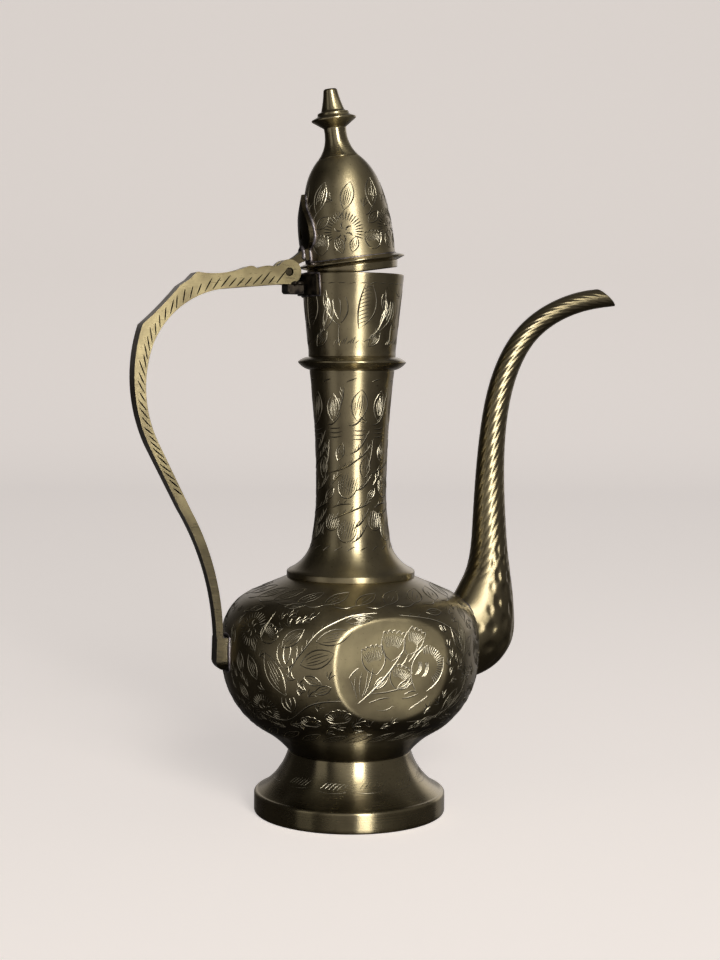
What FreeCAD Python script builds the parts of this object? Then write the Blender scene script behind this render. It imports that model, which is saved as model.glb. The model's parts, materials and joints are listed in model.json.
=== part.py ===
import FreeCAD, Part
import math
import os
import Sketcher

# An engraved brass ewer: a foot, an onion bowl, a waisted neck and a mouth cup soldered on one axis,
# a swan-neck spout towards +X, a cast handle towards -X, and a domed lid on a pin behind the mouth.
# The frame has its origin on the axis at the underside of the foot, with +Z up, in millimetres.

SIZES = {
    # Foot
    "foot_radius": 34.2, "foot_rim_height": 7.4, "foot_edge": 0.8, "foot_lip_radius": 33.1,
    "foot_lip_height": 9.2, "foot_top_radius": 22.0, "foot_height": 22.0, "foot_flare_bend": 22.3,
    "foot_hollow_radius": 32.4, "foot_hollow_height": 6.6, "foot_throat_radius": 20.2,
    "foot_throat_height": 20.4, "foot_hollow_bend": 24.0, "foot_land_radius": 17.0,
    # Bowl
    "bowl_hip_radius": 31.3, "bowl_hip_height": 29.9, "bowl_flank_radius": 45.7,
    "bowl_flank_low": 51.0, "bowl_flank_high": 67.0, "bowl_shoulder_radius": 34.6,
    "bowl_shoulder_height": 78.8, "bowl_top_radius": 23.0, "bowl_top_height": 83.9,
    "bowl_hip_bend": 34.1, "bowl_belly_bend": 29.4, "bowl_flank_bend": 53.6, "bowl_shoulder_bend": 17.2,
    "bowl_wall": 1.4, "bowl_wall_half": 0.7, "bowl_throat_radius": 20.0,
    "bowl_panel_distance": 41.4, "bowl_panel_inside": 40.0, "bowl_panel_ridge": 3.0,
    "bowl_port_radius": 7.0, "bowl_port_height": 60.0, "bowl_port_reach": 60.0,
    # Neck
    "neck_skirt_height": 86.0, "neck_step_radius": 22.3, "neck_step_height": 86.6,
    "neck_root_radius": 14.4, "neck_root_height": 95.5, "neck_waist_radius": 12.6,
    "neck_waist_height": 114.5, "neck_top_radius": 15.3, "neck_top_height": 158.0,
    "neck_skirt_bend": 14.3, "neck_root_bend": 101.0, "neck_rise_bend": 351.8, "neck_wall": 1.3,
    # Neck ring
    "ring_bore": 14.1, "ring_tip_radius": 19.35, "ring_tip_low": 160.8, "ring_tip_high": 161.8,
    "ring_crown_radius": 16.2, "ring_top_height": 162.7, "ring_bend": 6.0,
    # Mouth cup
    "cup_foot_radius": 15.7, "cup_foot_height": 165.0, "cup_rim_radius": 18.6, "cup_rim_height": 192.3,
    "cup_bore_foot": 14.4, "cup_bore_rim": 17.35,
    # Spout
    "spout_wall": 1.0, "spout_lip_top_x": 99.1, "spout_lip_top_z": 188.95, "spout_lip_low_x": 106.4,
    "spout_lip_low_z": 182.6, "spout_lip_bend": 14.0, "spout_lip_clear": 12.0,
    # Handle
    "handle_half": 4.0, "handle_slim_half": 2.7, "handle_pad_half": 3.4, "handle_ear_gap": 3.4,
    "handle_taper_top": 130.0, "handle_taper_low": 86.0, "handle_pad_ledge": 64.4,
    "handle_pad_round": 56.2, "handle_pad_bottom": 52.6, "handle_clear": 8.0,
    "handle_slot_end": 31.4, "eye_radius": 4.4,
    # Hinge
    "pin_distance": 25.1, "pin_height": 192.6, "pin_radius": 1.5, "pin_half": 3.5, "pin_edge": 0.3,
    "saddle_low": 184.6, "saddle_high": 191.8, "saddle_out_low": 19.78, "saddle_out_high": 20.55,
    "saddle_angle": 62.0,
    "saddle_block_end": 25.6, "saddle_block_root": 18.9, "saddle_block_half": 3.6,
    "saddle_block_low": 184.9, "saddle_block_high": 188.2, "saddle_edge": 0.7,
    # Lid, in heights above the middle of its flange
    "lid_plane": 193.6, "lid_ajar": 8.0, "flange_radius": 19.0, "flange_tip_half": 0.3,
    "flange_top": 1.2, "flange_under": 1.3, "flange_bore": 14.8, "flange_seat": 16.5,
    "plug_top_radius": 16.5, "plug_low_radius": 16.1, "plug_bore": 15.1, "plug_depth": 4.0,
    "dome_radius": 16.0, "dome_side": 8.0, "dome_bend": 68.0, "dome_shoulder_radius": 13.6,
    "dome_shoulder": 26.6, "dome_crown_bend": 22.6, "dome_land_radius": 7.4, "dome_top": 37.5,
    "dome_wall": 1.2, "dome_inner_land": 6.3, "dome_inner_top": 36.0,
    "tenon_radius": 2.2, "rivet_radius": 3.2, "rivet_low": 35.0,
    # Finial, in the same heights
    "finial_stem_radius": 4.1, "finial_stem": 44.5, "finial_waist_radius": 3.95, "finial_waist": 46.4,
    "finial_cup_radius": 4.05, "finial_cup": 48.2, "finial_disc_radius": 8.0, "finial_disc_low": 51.0,
    "finial_disc_high": 51.6, "finial_ring_radius": 5.8, "finial_ring_low": 52.6,
    "finial_ring_top_radius": 5.6, "finial_ring_high": 53.7, "finial_cone_radius": 4.3, "finial_cone": 54.2,
    "finial_tip_radius": 2.5, "finial_tip": 61.7, "finial_tip_edge": 2.0, "finial_top": 62.2,
    "finial_base_bend": 12.7, "finial_cone_bend": 40.0,
    # Hinge leaf, in the same heights
    "leaf_thick": 2.0, "leaf_core": 10.0, "leaf_angle": 90.0, "leaf_low": 2.4,
    "leaf_point": 25.7, "leaf_neck_half": 3.2, "leaf_neck": 19.0, "leaf_wide_half": 6.4,
    "leaf_wide": 11.6, "leaf_stalk_half": 2.4, "leaf_stalk": 6.2, "leaf_point_bend": 16.0,
    "leaf_side_bend": 12.0, "leaf_lobe_bend": 4.6, "leaf_frame": 40.0, "leaf_frame_low": -5.0,
    "leaf_hole_low": 9.4, "leaf_hole_high": 14.6, "leaf_hole_radius": 1.3, "leaf_hole_bend": 1.4,
    "tongue_half": 1.6, "tongue_low": 3.0, "tongue_high": 6.8, "tongue_bend": 13.0,
    "tongue_under_x": 21.6, "tongue_under": 0.9, "knuckle_radius": 4.0, "knuckle_bore": 1.55,
    "pin_drop": 1.0,
}

# Stations of the spout, from inside the bowl to past the tip:
# name, X, Z, lean of the section from level, half depth in the plane of the bend, half width across it
SPOUT_STATIONS = [
    ("inside", 39.0, 59.5, 79.0, 15.7, 9.8),
    ("root", 47.3, 61.5, 62.6, 15.5, 9.8),
    ("bulb", 52.0, 66.2, 45.7, 14.8, 9.6),
    ("heel", 53.8, 75.0, 26.0, 11.4, 8.7),
    ("ankle", 54.3, 83.0, 9.0, 8.6, 7.8),
    ("shin", 54.5, 102.6, 0.0, 6.15, 6.1),
    ("stem", 55.6, 133.2, 7.0, 4.85, 4.8),
    ("bow", 62.2, 160.6, 24.0, 4.4, 4.35),
    ("crook", 69.6, 171.8, 43.0, 4.15, 4.1),
    ("beak", 81.0, 180.1, 62.0, 3.95, 3.9),
    ("reach", 95.6, 185.0, 78.0, 3.75, 3.7),
    ("past_tip", 109.0, 186.4, 87.0, 3.3, 3.25),
]

# Outline of the handle's bar in the XZ plane, from the top of the eye round to its underside:
# X behind the axis, Z, then the bend radius and the turn of the stretch that arrives there
HANDLE_OUTLINE = [
    ("eye_top", 25.1, 196.9, None, 0),
    ("eye_tail", 30.6, 194.4, 9.0, -1),
    ("scallop_end", 36.9, 193.5, 9.0, 1),
    ("notch_end", 40.4, 194.1, 3.2, 1),
    ("thumb_start", 57.4, 191.7, 33.0, -1),
    ("thumb_end", 59.4, 191.2, 1.6, 1),
    ("step", 61.3, 189.2, None, 0),
    ("brow", 64.6, 187.0, None, 0),
    ("corner", 77.8, 173.4, 120.0, -1),
    ("grip_end", 75.4, 132.0, 58.0, 1),
    ("slope_end", 63.9, 109.4, None, 0),
    ("pad_top", 50.5, 64.4, 96.0, -1),
    ("pad_side", 50.7, 56.5, None, 0),
    ("pad_low", 47.2, 52.8, 3.6, 1),
    ("pad_in", 42.0, 52.8, None, 0),
    ("pad_up", 42.0, 64.4, None, 0),
    ("heel", 48.1, 64.4, None, 0),
    ("slope_start", 60.2, 109.4, 92.7, 1),
    ("grip_low", 71.9, 132.7, None, 0),
    ("grip_high", 73.8, 167.0, 44.3, -1),
    ("arm", 49.0, 186.2, 31.4, -1),
    ("eye_low", 27.6, 188.2, None, 0),
    ("eye_under", 25.1, 188.2, None, 0),
]

for name, x, z, lean, depth, width in SPOUT_STATIONS:
    SIZES["spout_" + name + "_x"] = x
    SIZES["spout_" + name + "_z"] = z
    SIZES["spout_" + name + "_lean"] = lean
    SIZES["spout_" + name + "_depth"] = depth
    SIZES["spout_" + name + "_width"] = width

for name, x, z, bend, turn in HANDLE_OUTLINE:
    SIZES["handle_" + name + "_x"] = x
    SIZES["handle_" + name + "_z"] = z
    if bend:
        SIZES["handle_" + name + "_bend"] = bend

doc = FreeCAD.newDocument("ewer")
sheet = doc.addObject("Spreadsheet::Sheet", "Sizes")
for row, (alias, size) in enumerate(SIZES.items(), start=1):
    sheet.set("A" + str(row), alias)
    sheet.set("B" + str(row), str(size))
    sheet.setAlias("B" + str(row), alias)
doc.recompute()

UP = FreeCAD.Vector(0, 0, 1)
ACROSS = FreeCAD.Vector(0, 1, 0)
QUARTER_TURN = 90.0


def amount(formula):
    """The number that a sum of sheet names, such as "foot_radius - foot_edge", comes to."""
    total = 0.0
    sign = 1.0
    for word in formula.split():
        if word == "+":
            sign = 1.0
        elif word == "-":
            sign = -1.0
        else:
            total += sign * (SIZES[word] if word in SIZES else float(word))
    return total


def bound(formula):
    """The same sum as an expression on the sheet's cells."""
    return " ".join("Sizes." + word if word in SIZES else word for word in formula.split())


def new_body(label):
    body = doc.addObject("PartDesign::Body", label)
    body.Label = label
    return body


def plane(body, role):
    return next(item for item in body.Origin.OriginFeatures if item.Role == role)


def new_sketch(body, name, role="XZ_Plane"):
    sketch = body.newObject("Sketcher::SketchObject", name)
    sketch.AttachmentSupport = [(plane(body, role), "")]
    sketch.MapMode = "FlatFace"
    return sketch


def constrain(sketch, formula, kind, *place):
    """Add one dimension to a sketch and bind it to the sheet."""
    index = sketch.addConstraint(Sketcher.Constraint(kind, *place, amount(formula)))
    if any(word in SIZES for word in formula.split()):
        sketch.setExpression("Constraints[" + str(index) + "]", bound(formula))


def arc_between(start, end, radius, turn):
    """The arc from start to end that turns left (1) or right (-1), as Sketcher keeps it."""
    chord = end - start
    half = chord.Length / 2
    rise = math.sqrt(max(radius * radius - half * half, 0.0))
    side = FreeCAD.Vector(-chord.y, chord.x, 0).normalize() * turn
    centre = (start + end) / 2 + side * rise
    first, last = (start, end) if turn > 0 else (end, start)
    first_angle = math.atan2(first.y - centre.y, first.x - centre.x)
    last_angle = math.atan2(last.y - centre.y, last.x - centre.x)
    return Part.ArcOfCircle(Part.Circle(centre, UP, radius), first_angle, last_angle)


def draw(sketch, corners):
    """Draw a closed outline. Each corner is (across, along), or (across, along, bend, turn) when the
    stretch that arrives there is an arc of that radius turning left (1) or right (-1)."""
    points = [FreeCAD.Vector(amount(corner[0]), amount(corner[1]), 0) for corner in corners]
    ends = []
    for place in range(len(corners)):
        goal = corners[(place + 1) % len(corners)]
        start = points[place]
        end = points[(place + 1) % len(corners)]
        if len(goal) == 4:
            index = sketch.addGeometry(arc_between(start, end, amount(goal[2]), goal[3]), False)
            ends.append((index, 1, 2) if goal[3] > 0 else (index, 2, 1))
        else:
            index = sketch.addGeometry(Part.LineSegment(start, end), False)
            ends.append((index, 1, 2))
    for place, (index, first, last) in enumerate(ends):
        following = ends[(place + 1) % len(ends)]
        sketch.addConstraint(Sketcher.Constraint("Coincident", index, last, following[0], following[1]))
        constrain(sketch, corners[place][0], "DistanceX", index, first)
        constrain(sketch, corners[place][1], "DistanceY", index, first)
        goal = corners[(place + 1) % len(corners)]
        if len(goal) == 4:
            constrain(sketch, goal[2], "Radius", index)
    return sketch


def draw_circle(sketch, across, along, radius):
    centre = FreeCAD.Vector(amount(across), amount(along), 0)
    index = sketch.addGeometry(Part.Circle(centre, UP, amount(radius)), False)
    constrain(sketch, across, "DistanceX", index, 3)
    constrain(sketch, along, "DistanceY", index, 3)
    constrain(sketch, radius, "Radius", index)
    return sketch


def turned(body, name, corners, angle=None):
    """A turned solid: the outline revolved about the axis, or swept evenly about the XZ plane."""
    feature = body.newObject("PartDesign::Revolution", name)
    feature.Profile = draw(new_sketch(body, name + "_outline"), corners)
    feature.ReferenceAxis = (feature.Profile[0], ["V_Axis"])
    feature.Angle = 360.0
    if angle:
        feature.setExpression("Angle", bound(angle))
        feature.Midplane = True
    doc.recompute()
    return feature


def padded(body, name, sketch, length):
    """A pad of the given whole width, even on both sides of the sketch's plane."""
    feature = body.newObject("PartDesign::Pad", name)
    feature.Profile = sketch
    feature.Midplane = True
    feature.setExpression("Length", bound(length))
    doc.recompute()
    return feature


def checked_cut(body, feature, before):
    doc.recompute()
    if not feature.Shape.Volume < before - 0.01:
        raise RuntimeError(body.Label + ": " + feature.Name + " removes nothing")
    return feature


def cut_through(body, name, sketch):
    """Cut the sketch through the whole piece, both ways from its plane."""
    before = body.Shape.Volume
    feature = body.newObject("PartDesign::Pocket", name)
    feature.Profile = sketch
    feature.Type = "ThroughAll"
    feature.Midplane = True
    return checked_cut(body, feature, before)


def cut_turned(body, name, corners):
    """Cut a turned shape about the axis out of the piece."""
    before = body.Shape.Volume
    feature = body.newObject("PartDesign::Groove", name)
    feature.Profile = draw(new_sketch(body, name + "_outline"), corners)
    feature.ReferenceAxis = (feature.Profile[0], ["V_Axis"])
    feature.Angle = 360.0
    return checked_cut(body, feature, before)


# Foot: a turned pedestal, hollow below, with a land that carries the bowl
def make_foot():
    body = new_body("foot")
    turned(body, "foot_turning", [
        ("foot_hollow_radius", "0"),
        ("foot_radius - foot_edge", "0"),
        ("foot_radius", "foot_edge", "foot_edge", 1),
        ("foot_radius", "foot_rim_height"),
        ("foot_lip_radius", "foot_lip_height", "foot_lip_height - foot_rim_height", 1),
        ("foot_top_radius", "foot_height", "foot_flare_bend", -1),
        ("foot_land_radius", "foot_height"),
        ("foot_land_radius", "foot_throat_height"),
        ("foot_throat_radius", "foot_throat_height"),
        ("foot_hollow_radius", "foot_hollow_height", "foot_hollow_bend", 1),
    ])
    return body


# Bowl: a spun onion form with a flat oval at front and back, and a round port for the spout
BOWL_OUTLINE = [
    ("0", "foot_height"),
    ("foot_top_radius", "foot_height"),
    ("bowl_hip_radius", "bowl_hip_height", "bowl_hip_bend", -1),
    ("bowl_flank_radius", "bowl_flank_low", "bowl_belly_bend", 1),
    ("bowl_flank_radius", "bowl_flank_high", "bowl_flank_bend", 1),
    ("bowl_shoulder_radius", "bowl_shoulder_height", "bowl_shoulder_bend", 1),
    ("bowl_top_radius", "bowl_top_height"),
    ("0", "bowl_top_height"),
]


def flatten_panels(body, name, distance):
    """Cut the bowl's two bulges off flat, at a distance from the axis, at front and back."""
    panels = new_sketch(body, name + "_outline", "XY_Plane")
    for side in ("", "- "):
        near = side + distance
        far = side + "bowl_port_reach"
        draw(panels, [("- bowl_port_reach", near), ("bowl_port_reach", near),
                      ("bowl_port_reach", far), ("- bowl_port_reach", far)])
    return cut_through(body, name, panels)


def make_bowl():
    skin = new_body("bowl_skin")
    turned(skin, "bowl_spinning", BOWL_OUTLINE)
    flat = flatten_panels(skin, "panel_flats", "bowl_panel_distance")
    rims = []
    for number, edge in enumerate(flat.Shape.Edges, start=1):
        box = edge.BoundBox
        if box.YLength < 1e-6 and abs(abs(box.YMin) - amount("bowl_panel_distance")) < 1e-4:
            rims.append("Edge" + str(number))
    ridge = skin.newObject("PartDesign::Fillet", "panel_ridge")
    ridge.Base = (flat, rims)
    ridge.setExpression("Radius", bound("bowl_panel_ridge"))
    doc.recompute()
    cavity = new_body("bowl_cavity")
    turned(cavity, "cavity_turning", [
        ("0", "foot_height + bowl_wall"),
        ("foot_top_radius - bowl_wall", "foot_height + bowl_wall"),
        ("bowl_hip_radius - bowl_wall_half", "bowl_hip_height + bowl_wall", "bowl_hip_bend + bowl_wall", -1),
        ("bowl_flank_radius - bowl_wall", "bowl_flank_low", "bowl_belly_bend - bowl_wall", 1),
        ("bowl_flank_radius - bowl_wall", "bowl_flank_high", "bowl_flank_bend - bowl_wall", 1),
        ("bowl_shoulder_radius - bowl_wall_half", "bowl_shoulder_height - bowl_wall",
         "bowl_shoulder_bend - bowl_wall", 1),
        ("bowl_throat_radius", "bowl_top_height - bowl_wall"),
        ("bowl_throat_radius", "bowl_top_height + bowl_wall"),
        ("0", "bowl_top_height + bowl_wall"),
    ])
    flatten_panels(cavity, "cavity_flats", "bowl_panel_inside")
    port = doc.addObject("Part::Cylinder", "spout_port")
    port.setExpression("Radius", bound("bowl_port_radius"))
    port.setExpression("Height", bound("bowl_port_reach"))
    port.Placement = FreeCAD.Placement(FreeCAD.Vector(0, 0, amount("bowl_port_height")),
                                       FreeCAD.Rotation(ACROSS, QUARTER_TURN))
    port.setExpression("Placement.Base.z", bound("bowl_port_height"))
    doc.recompute()
    bowl = cut_from("bowl", cut_from("bowl_shell", skin, cavity), port)
    bowl.Label = "bowl"
    return bowl, skin


# Neck: a waisted tube that flares into a stepped skirt on the bowl
def make_neck():
    body = new_body("neck")
    turned(body, "neck_turning", [
        ("bowl_top_radius", "bowl_top_height"),
        ("bowl_top_radius", "neck_skirt_height"),
        ("neck_step_radius", "neck_step_height"),
        ("neck_root_radius", "neck_root_height", "neck_skirt_bend", -1),
        ("neck_waist_radius", "neck_waist_height", "neck_root_bend", -1),
        ("neck_top_radius", "neck_top_height", "neck_rise_bend", -1),
        ("neck_top_radius - neck_wall", "neck_top_height"),
        ("neck_waist_radius - neck_wall", "neck_waist_height", "neck_rise_bend + neck_wall", 1),
        ("neck_root_radius - neck_wall", "neck_root_height", "neck_root_bend + neck_wall", 1),
        ("bowl_throat_radius", "bowl_top_height", "neck_skirt_bend + neck_wall", 1),
    ])
    return body


# Neck ring: a lens-shaped bead that hides the seam between neck and cup
def make_neck_ring():
    body = new_body("neck_ring")
    turned(body, "ring_turning", [
        ("ring_bore", "neck_top_height"),
        ("neck_top_radius", "neck_top_height"),
        ("ring_tip_radius", "ring_tip_low", "ring_bend", -1),
        ("ring_tip_radius", "ring_tip_high", "ring_tip_high - ring_tip_low", 1),
        ("ring_crown_radius", "ring_top_height", "ring_bend", -1),
        ("ring_bore", "ring_top_height"),
    ])
    return body


# Mouth cup: a thin flaring cup, open at both ends
def make_mouth_cup():
    body = new_body("mouth_cup")
    turned(body, "cup_turning", [
        ("cup_bore_foot", "ring_top_height"),
        ("cup_foot_radius", "ring_top_height"),
        ("cup_foot_radius", "cup_foot_height"),
        ("cup_rim_radius", "cup_rim_height"),
        ("cup_bore_rim", "cup_rim_height"),
        ("cup_bore_foot", "cup_foot_height"),
    ])
    return body


# Spout: a tapering swan neck lofted through leaning sections, bored, trimmed to the bowl and cut aslant
def station_sketch(station):
    """One oval section of the spout in four quarters, set at its station and leaning with it."""
    key = "spout_" + station
    sketch = doc.addObject("Sketcher::SketchObject", key + "_section")
    lean = FreeCAD.Rotation(ACROSS, amount(key + "_lean"))
    sketch.Placement = FreeCAD.Placement(FreeCAD.Vector(amount(key + "_x"), 0, amount(key + "_z")), lean)
    sketch.setExpression("Placement.Base.x", bound(key + "_x"))
    sketch.setExpression("Placement.Base.z", bound(key + "_z"))
    depth = key + "_depth"
    width = key + "_width"
    oval = Part.Ellipse(FreeCAD.Vector(0, 0, 0), amount(depth), amount(width))
    starts = [(depth, "0"), ("0", width), ("- " + depth, "0"), ("0", "- " + width)]
    quarter = 2 * math.pi / len(starts)
    for turn in range(len(starts)):
        sketch.addGeometry(Part.ArcOfEllipse(oval, turn * quarter, (turn + 1) * quarter), False)
    for turn, (across, along) in enumerate(starts):
        sketch.addConstraint(Sketcher.Constraint("Coincident", turn, 2, (turn + 1) % len(starts), 1))
        sketch.addConstraint(Sketcher.Constraint("Coincident", turn, 3, -1, 1))
        constrain(sketch, across, "DistanceX", turn, 1)
        constrain(sketch, along, "DistanceY", turn, 1)
    return sketch


def cut_from(name, base, tool):
    """The base with the tool taken out of it, as an object of its own."""
    result = doc.addObject("Part::Cut", name)
    result.Base = base
    result.Tool = tool
    result.Refine = False
    doc.recompute()
    if not result.Shape.Volume < base.Shape.Volume - 0.01:
        raise RuntimeError(name + " removes nothing")
    return result


def make_spout(bowl_skin):
    skin = doc.addObject("Part::Loft", "spout_skin")
    skin.Sections = [station_sketch(station[0]) for station in SPOUT_STATIONS]
    skin.Solid = True
    skin.MaxDegree = 3
    bore = doc.addObject("Part::Offset", "spout_bore")
    bore.Source = skin
    bore.setExpression("Value", "-" + bound("spout_wall"))
    doc.recompute()
    seated = cut_from("spout_seated", skin, bowl_skin)
    cutter = new_body("spout_lip_cutter")
    lip = draw(new_sketch(cutter, "lip_outline"), [
        ("spout_lip_top_x", "spout_lip_top_z"),
        ("spout_lip_low_x", "spout_lip_low_z", "spout_lip_bend", -1),
        ("spout_lip_low_x", "spout_lip_low_z - spout_lip_clear"),
        ("spout_lip_low_x + spout_lip_clear", "spout_lip_low_z - spout_lip_clear"),
        ("spout_lip_low_x + spout_lip_clear", "spout_lip_top_z + spout_lip_clear"),
        ("spout_lip_top_x", "spout_lip_top_z + spout_lip_clear"),
    ])
    padded(cutter, "lip_block", lip, "spout_lip_clear + spout_lip_clear")
    lipped = cut_from("spout_lipped", seated, cutter)
    spout = cut_from("spout", lipped, bore)
    spout.Label = "spout"
    return spout


# Handle: a cast bar with an eye at the top, forked for the lid's knuckle, and a pad on the bowl
def make_handle():
    body = new_body("handle")
    corners = []
    for name, x, z, bend, turn in HANDLE_OUTLINE:
        key = "handle_" + name
        corner = ("- " + key + "_x", key + "_z")
        corners.append(corner + (key + "_bend", turn) if bend else corner)
    padded(body, "bar", draw(new_sketch(body, "bar_outline"), corners), "handle_half + handle_half")
    eye = draw_circle(new_sketch(body, "eye_outline"), "- pin_distance", "pin_height", "eye_radius")
    padded(body, "eye", eye, "handle_half + handle_half")
    sides = new_sketch(body, "side_outline", "YZ_Plane")
    for sign, turn in (("", 1), ("- ", -1)):
        draw(sides, [
            (sign + "handle_half", "handle_taper_top"),
            (sign + "handle_slim_half", "handle_taper_low"),
            (sign + "handle_slim_half", "handle_pad_ledge"),
            (sign + "handle_pad_half", "handle_pad_ledge"),
            (sign + "handle_pad_half", "handle_pad_round"),
            ("0", "handle_pad_bottom", "handle_half", -turn),
            ("0", "handle_pad_bottom - handle_clear"),
            (sign + "handle_clear", "handle_pad_bottom - handle_clear"),
            (sign + "handle_clear", "handle_taper_top"),
        ])
    cut_through(body, "side_taper", sides)
    cut_turned(body, "bowl_seat", BOWL_OUTLINE)
    slot = draw(new_sketch(body, "slot_outline"), [
        ("- handle_slot_end", "pin_height - handle_clear"),
        ("0", "pin_height - handle_clear"),
        ("0", "pin_height + handle_clear"),
        ("- handle_slot_end", "pin_height + handle_clear"),
    ])
    before = body.Shape.Volume
    fork = body.newObject("PartDesign::Pocket", "fork_slot")
    fork.Profile = slot
    fork.Midplane = True
    fork.setExpression("Length", bound("handle_ear_gap"))
    checked_cut(body, fork, before)
    hole = draw_circle(new_sketch(body, "pin_hole_outline"), "- pin_distance", "pin_height", "pin_radius")
    cut_through(body, "pin_hole", hole)
    return body


# Hinge saddle: a curved plate on the cup and the block under the handle's ears
def make_hinge_saddle():
    body = new_body("hinge_saddle")
    turned(body, "saddle_plate", [
        ("- cup_foot_radius", "saddle_low"),
        ("- saddle_out_low", "saddle_low"),
        ("- saddle_out_high", "saddle_high"),
        ("- cup_foot_radius", "saddle_high"),
    ], "saddle_angle")
    block = draw(new_sketch(body, "block_outline"), [
        ("- saddle_block_root", "saddle_block_low"),
        ("- saddle_block_root", "saddle_block_high"),
        ("- saddle_block_end", "saddle_block_high"),
        ("- saddle_block_end", "saddle_block_low + saddle_edge"),
        ("- saddle_block_end + saddle_edge", "saddle_block_low"),
    ])
    padded(body, "saddle_block", block, "saddle_block_half + saddle_block_half")
    cut_turned(body, "cup_seat", [
        ("0", "ring_top_height"),
        ("cup_foot_radius", "ring_top_height"),
        ("cup_foot_radius", "cup_foot_height"),
        ("cup_rim_radius", "cup_rim_height"),
        ("0", "cup_rim_height"),
    ])
    return body


# Hinge pin: a short rod through both ears, its ends a little below the ears' faces
def make_hinge_pin():
    body = new_body("hinge_pin")
    outline = draw_circle(new_sketch(body, "pin_outline"), "- pin_distance", "pin_height", "pin_radius")
    rod = padded(body, "pin_rod", outline, "pin_half + pin_half")
    rims = []
    for number, edge in enumerate(rod.Shape.Edges, start=1):
        if edge.BoundBox.YLength < 1e-6:
            rims.append("Edge" + str(number))
    ends = body.newObject("PartDesign::Chamfer", "pin_ends")
    ends.Base = (rod, rims)
    ends.setExpression("Size", bound("pin_edge"))
    doc.recompute()
    return body


# Lid rim ring: the lens-shaped flange that rests on the cup
def make_lid_rim_ring():
    body = new_body("lid_rim_ring")
    turned(body, "flange_turning", [
        ("flange_bore", "- flange_under"),
        ("flange_seat", "- flange_under"),
        ("flange_radius", "- flange_tip_half"),
        ("flange_radius", "flange_tip_half", "flange_tip_half + flange_tip_half", 1),
        ("flange_seat", "flange_top"),
        ("flange_bore", "flange_top"),
    ])
    return body


# Lid plug: a tapered tube below the flange that finds the mouth of the cup
def make_lid_plug():
    body = new_body("lid_plug")
    turned(body, "plug_turning", [
        ("plug_bore", "- plug_depth"),
        ("plug_low_radius", "- plug_depth"),
        ("plug_top_radius", "- flange_under"),
        ("plug_bore", "- flange_under"),
    ])
    return body


# Lid dome: a raised onion dome, flat where the finial sits, with a hole for the finial's tenon
def make_lid_dome():
    body = new_body("lid_dome")
    turned(body, "dome_turning", [
        ("dome_radius - dome_wall", "flange_top"),
        ("dome_radius", "flange_top"),
        ("dome_radius", "dome_side"),
        ("dome_shoulder_radius", "dome_shoulder", "dome_bend", 1),
        ("dome_land_radius", "dome_top", "dome_crown_bend", 1),
        ("tenon_radius", "dome_top"),
        ("tenon_radius", "dome_inner_top"),
        ("dome_inner_land", "dome_inner_top"),
        ("dome_shoulder_radius - dome_wall", "dome_shoulder", "dome_crown_bend - dome_wall", -1),
        ("dome_radius - dome_wall", "dome_side", "dome_bend - dome_wall", -1),
    ])
    return body


# Finial: a turned knob with a disc and a cone, riveted through the dome
def make_finial():
    body = new_body("finial")
    turned(body, "finial_turning", [
        ("0", "rivet_low"),
        ("rivet_radius", "rivet_low"),
        ("rivet_radius", "dome_inner_top"),
        ("tenon_radius", "dome_inner_top"),
        ("tenon_radius", "dome_top"),
        ("dome_land_radius", "dome_top"),
        ("finial_stem_radius", "finial_stem", "finial_base_bend", -1),
        ("finial_waist_radius", "finial_waist"),
        ("finial_cup_radius", "finial_cup"),
        ("finial_disc_radius", "finial_disc_low"),
        ("finial_disc_radius", "finial_disc_high", "finial_disc_high - finial_disc_low", 1),
        ("finial_ring_radius", "finial_ring_low"),
        ("finial_ring_top_radius", "finial_ring_high"),
        ("finial_cone_radius", "finial_cone"),
        ("finial_tip_radius", "finial_tip", "finial_cone_bend", -1),
        ("finial_tip_edge", "finial_top", "finial_tip_radius", 1),
        ("0", "finial_top"),
    ])
    return body


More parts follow.
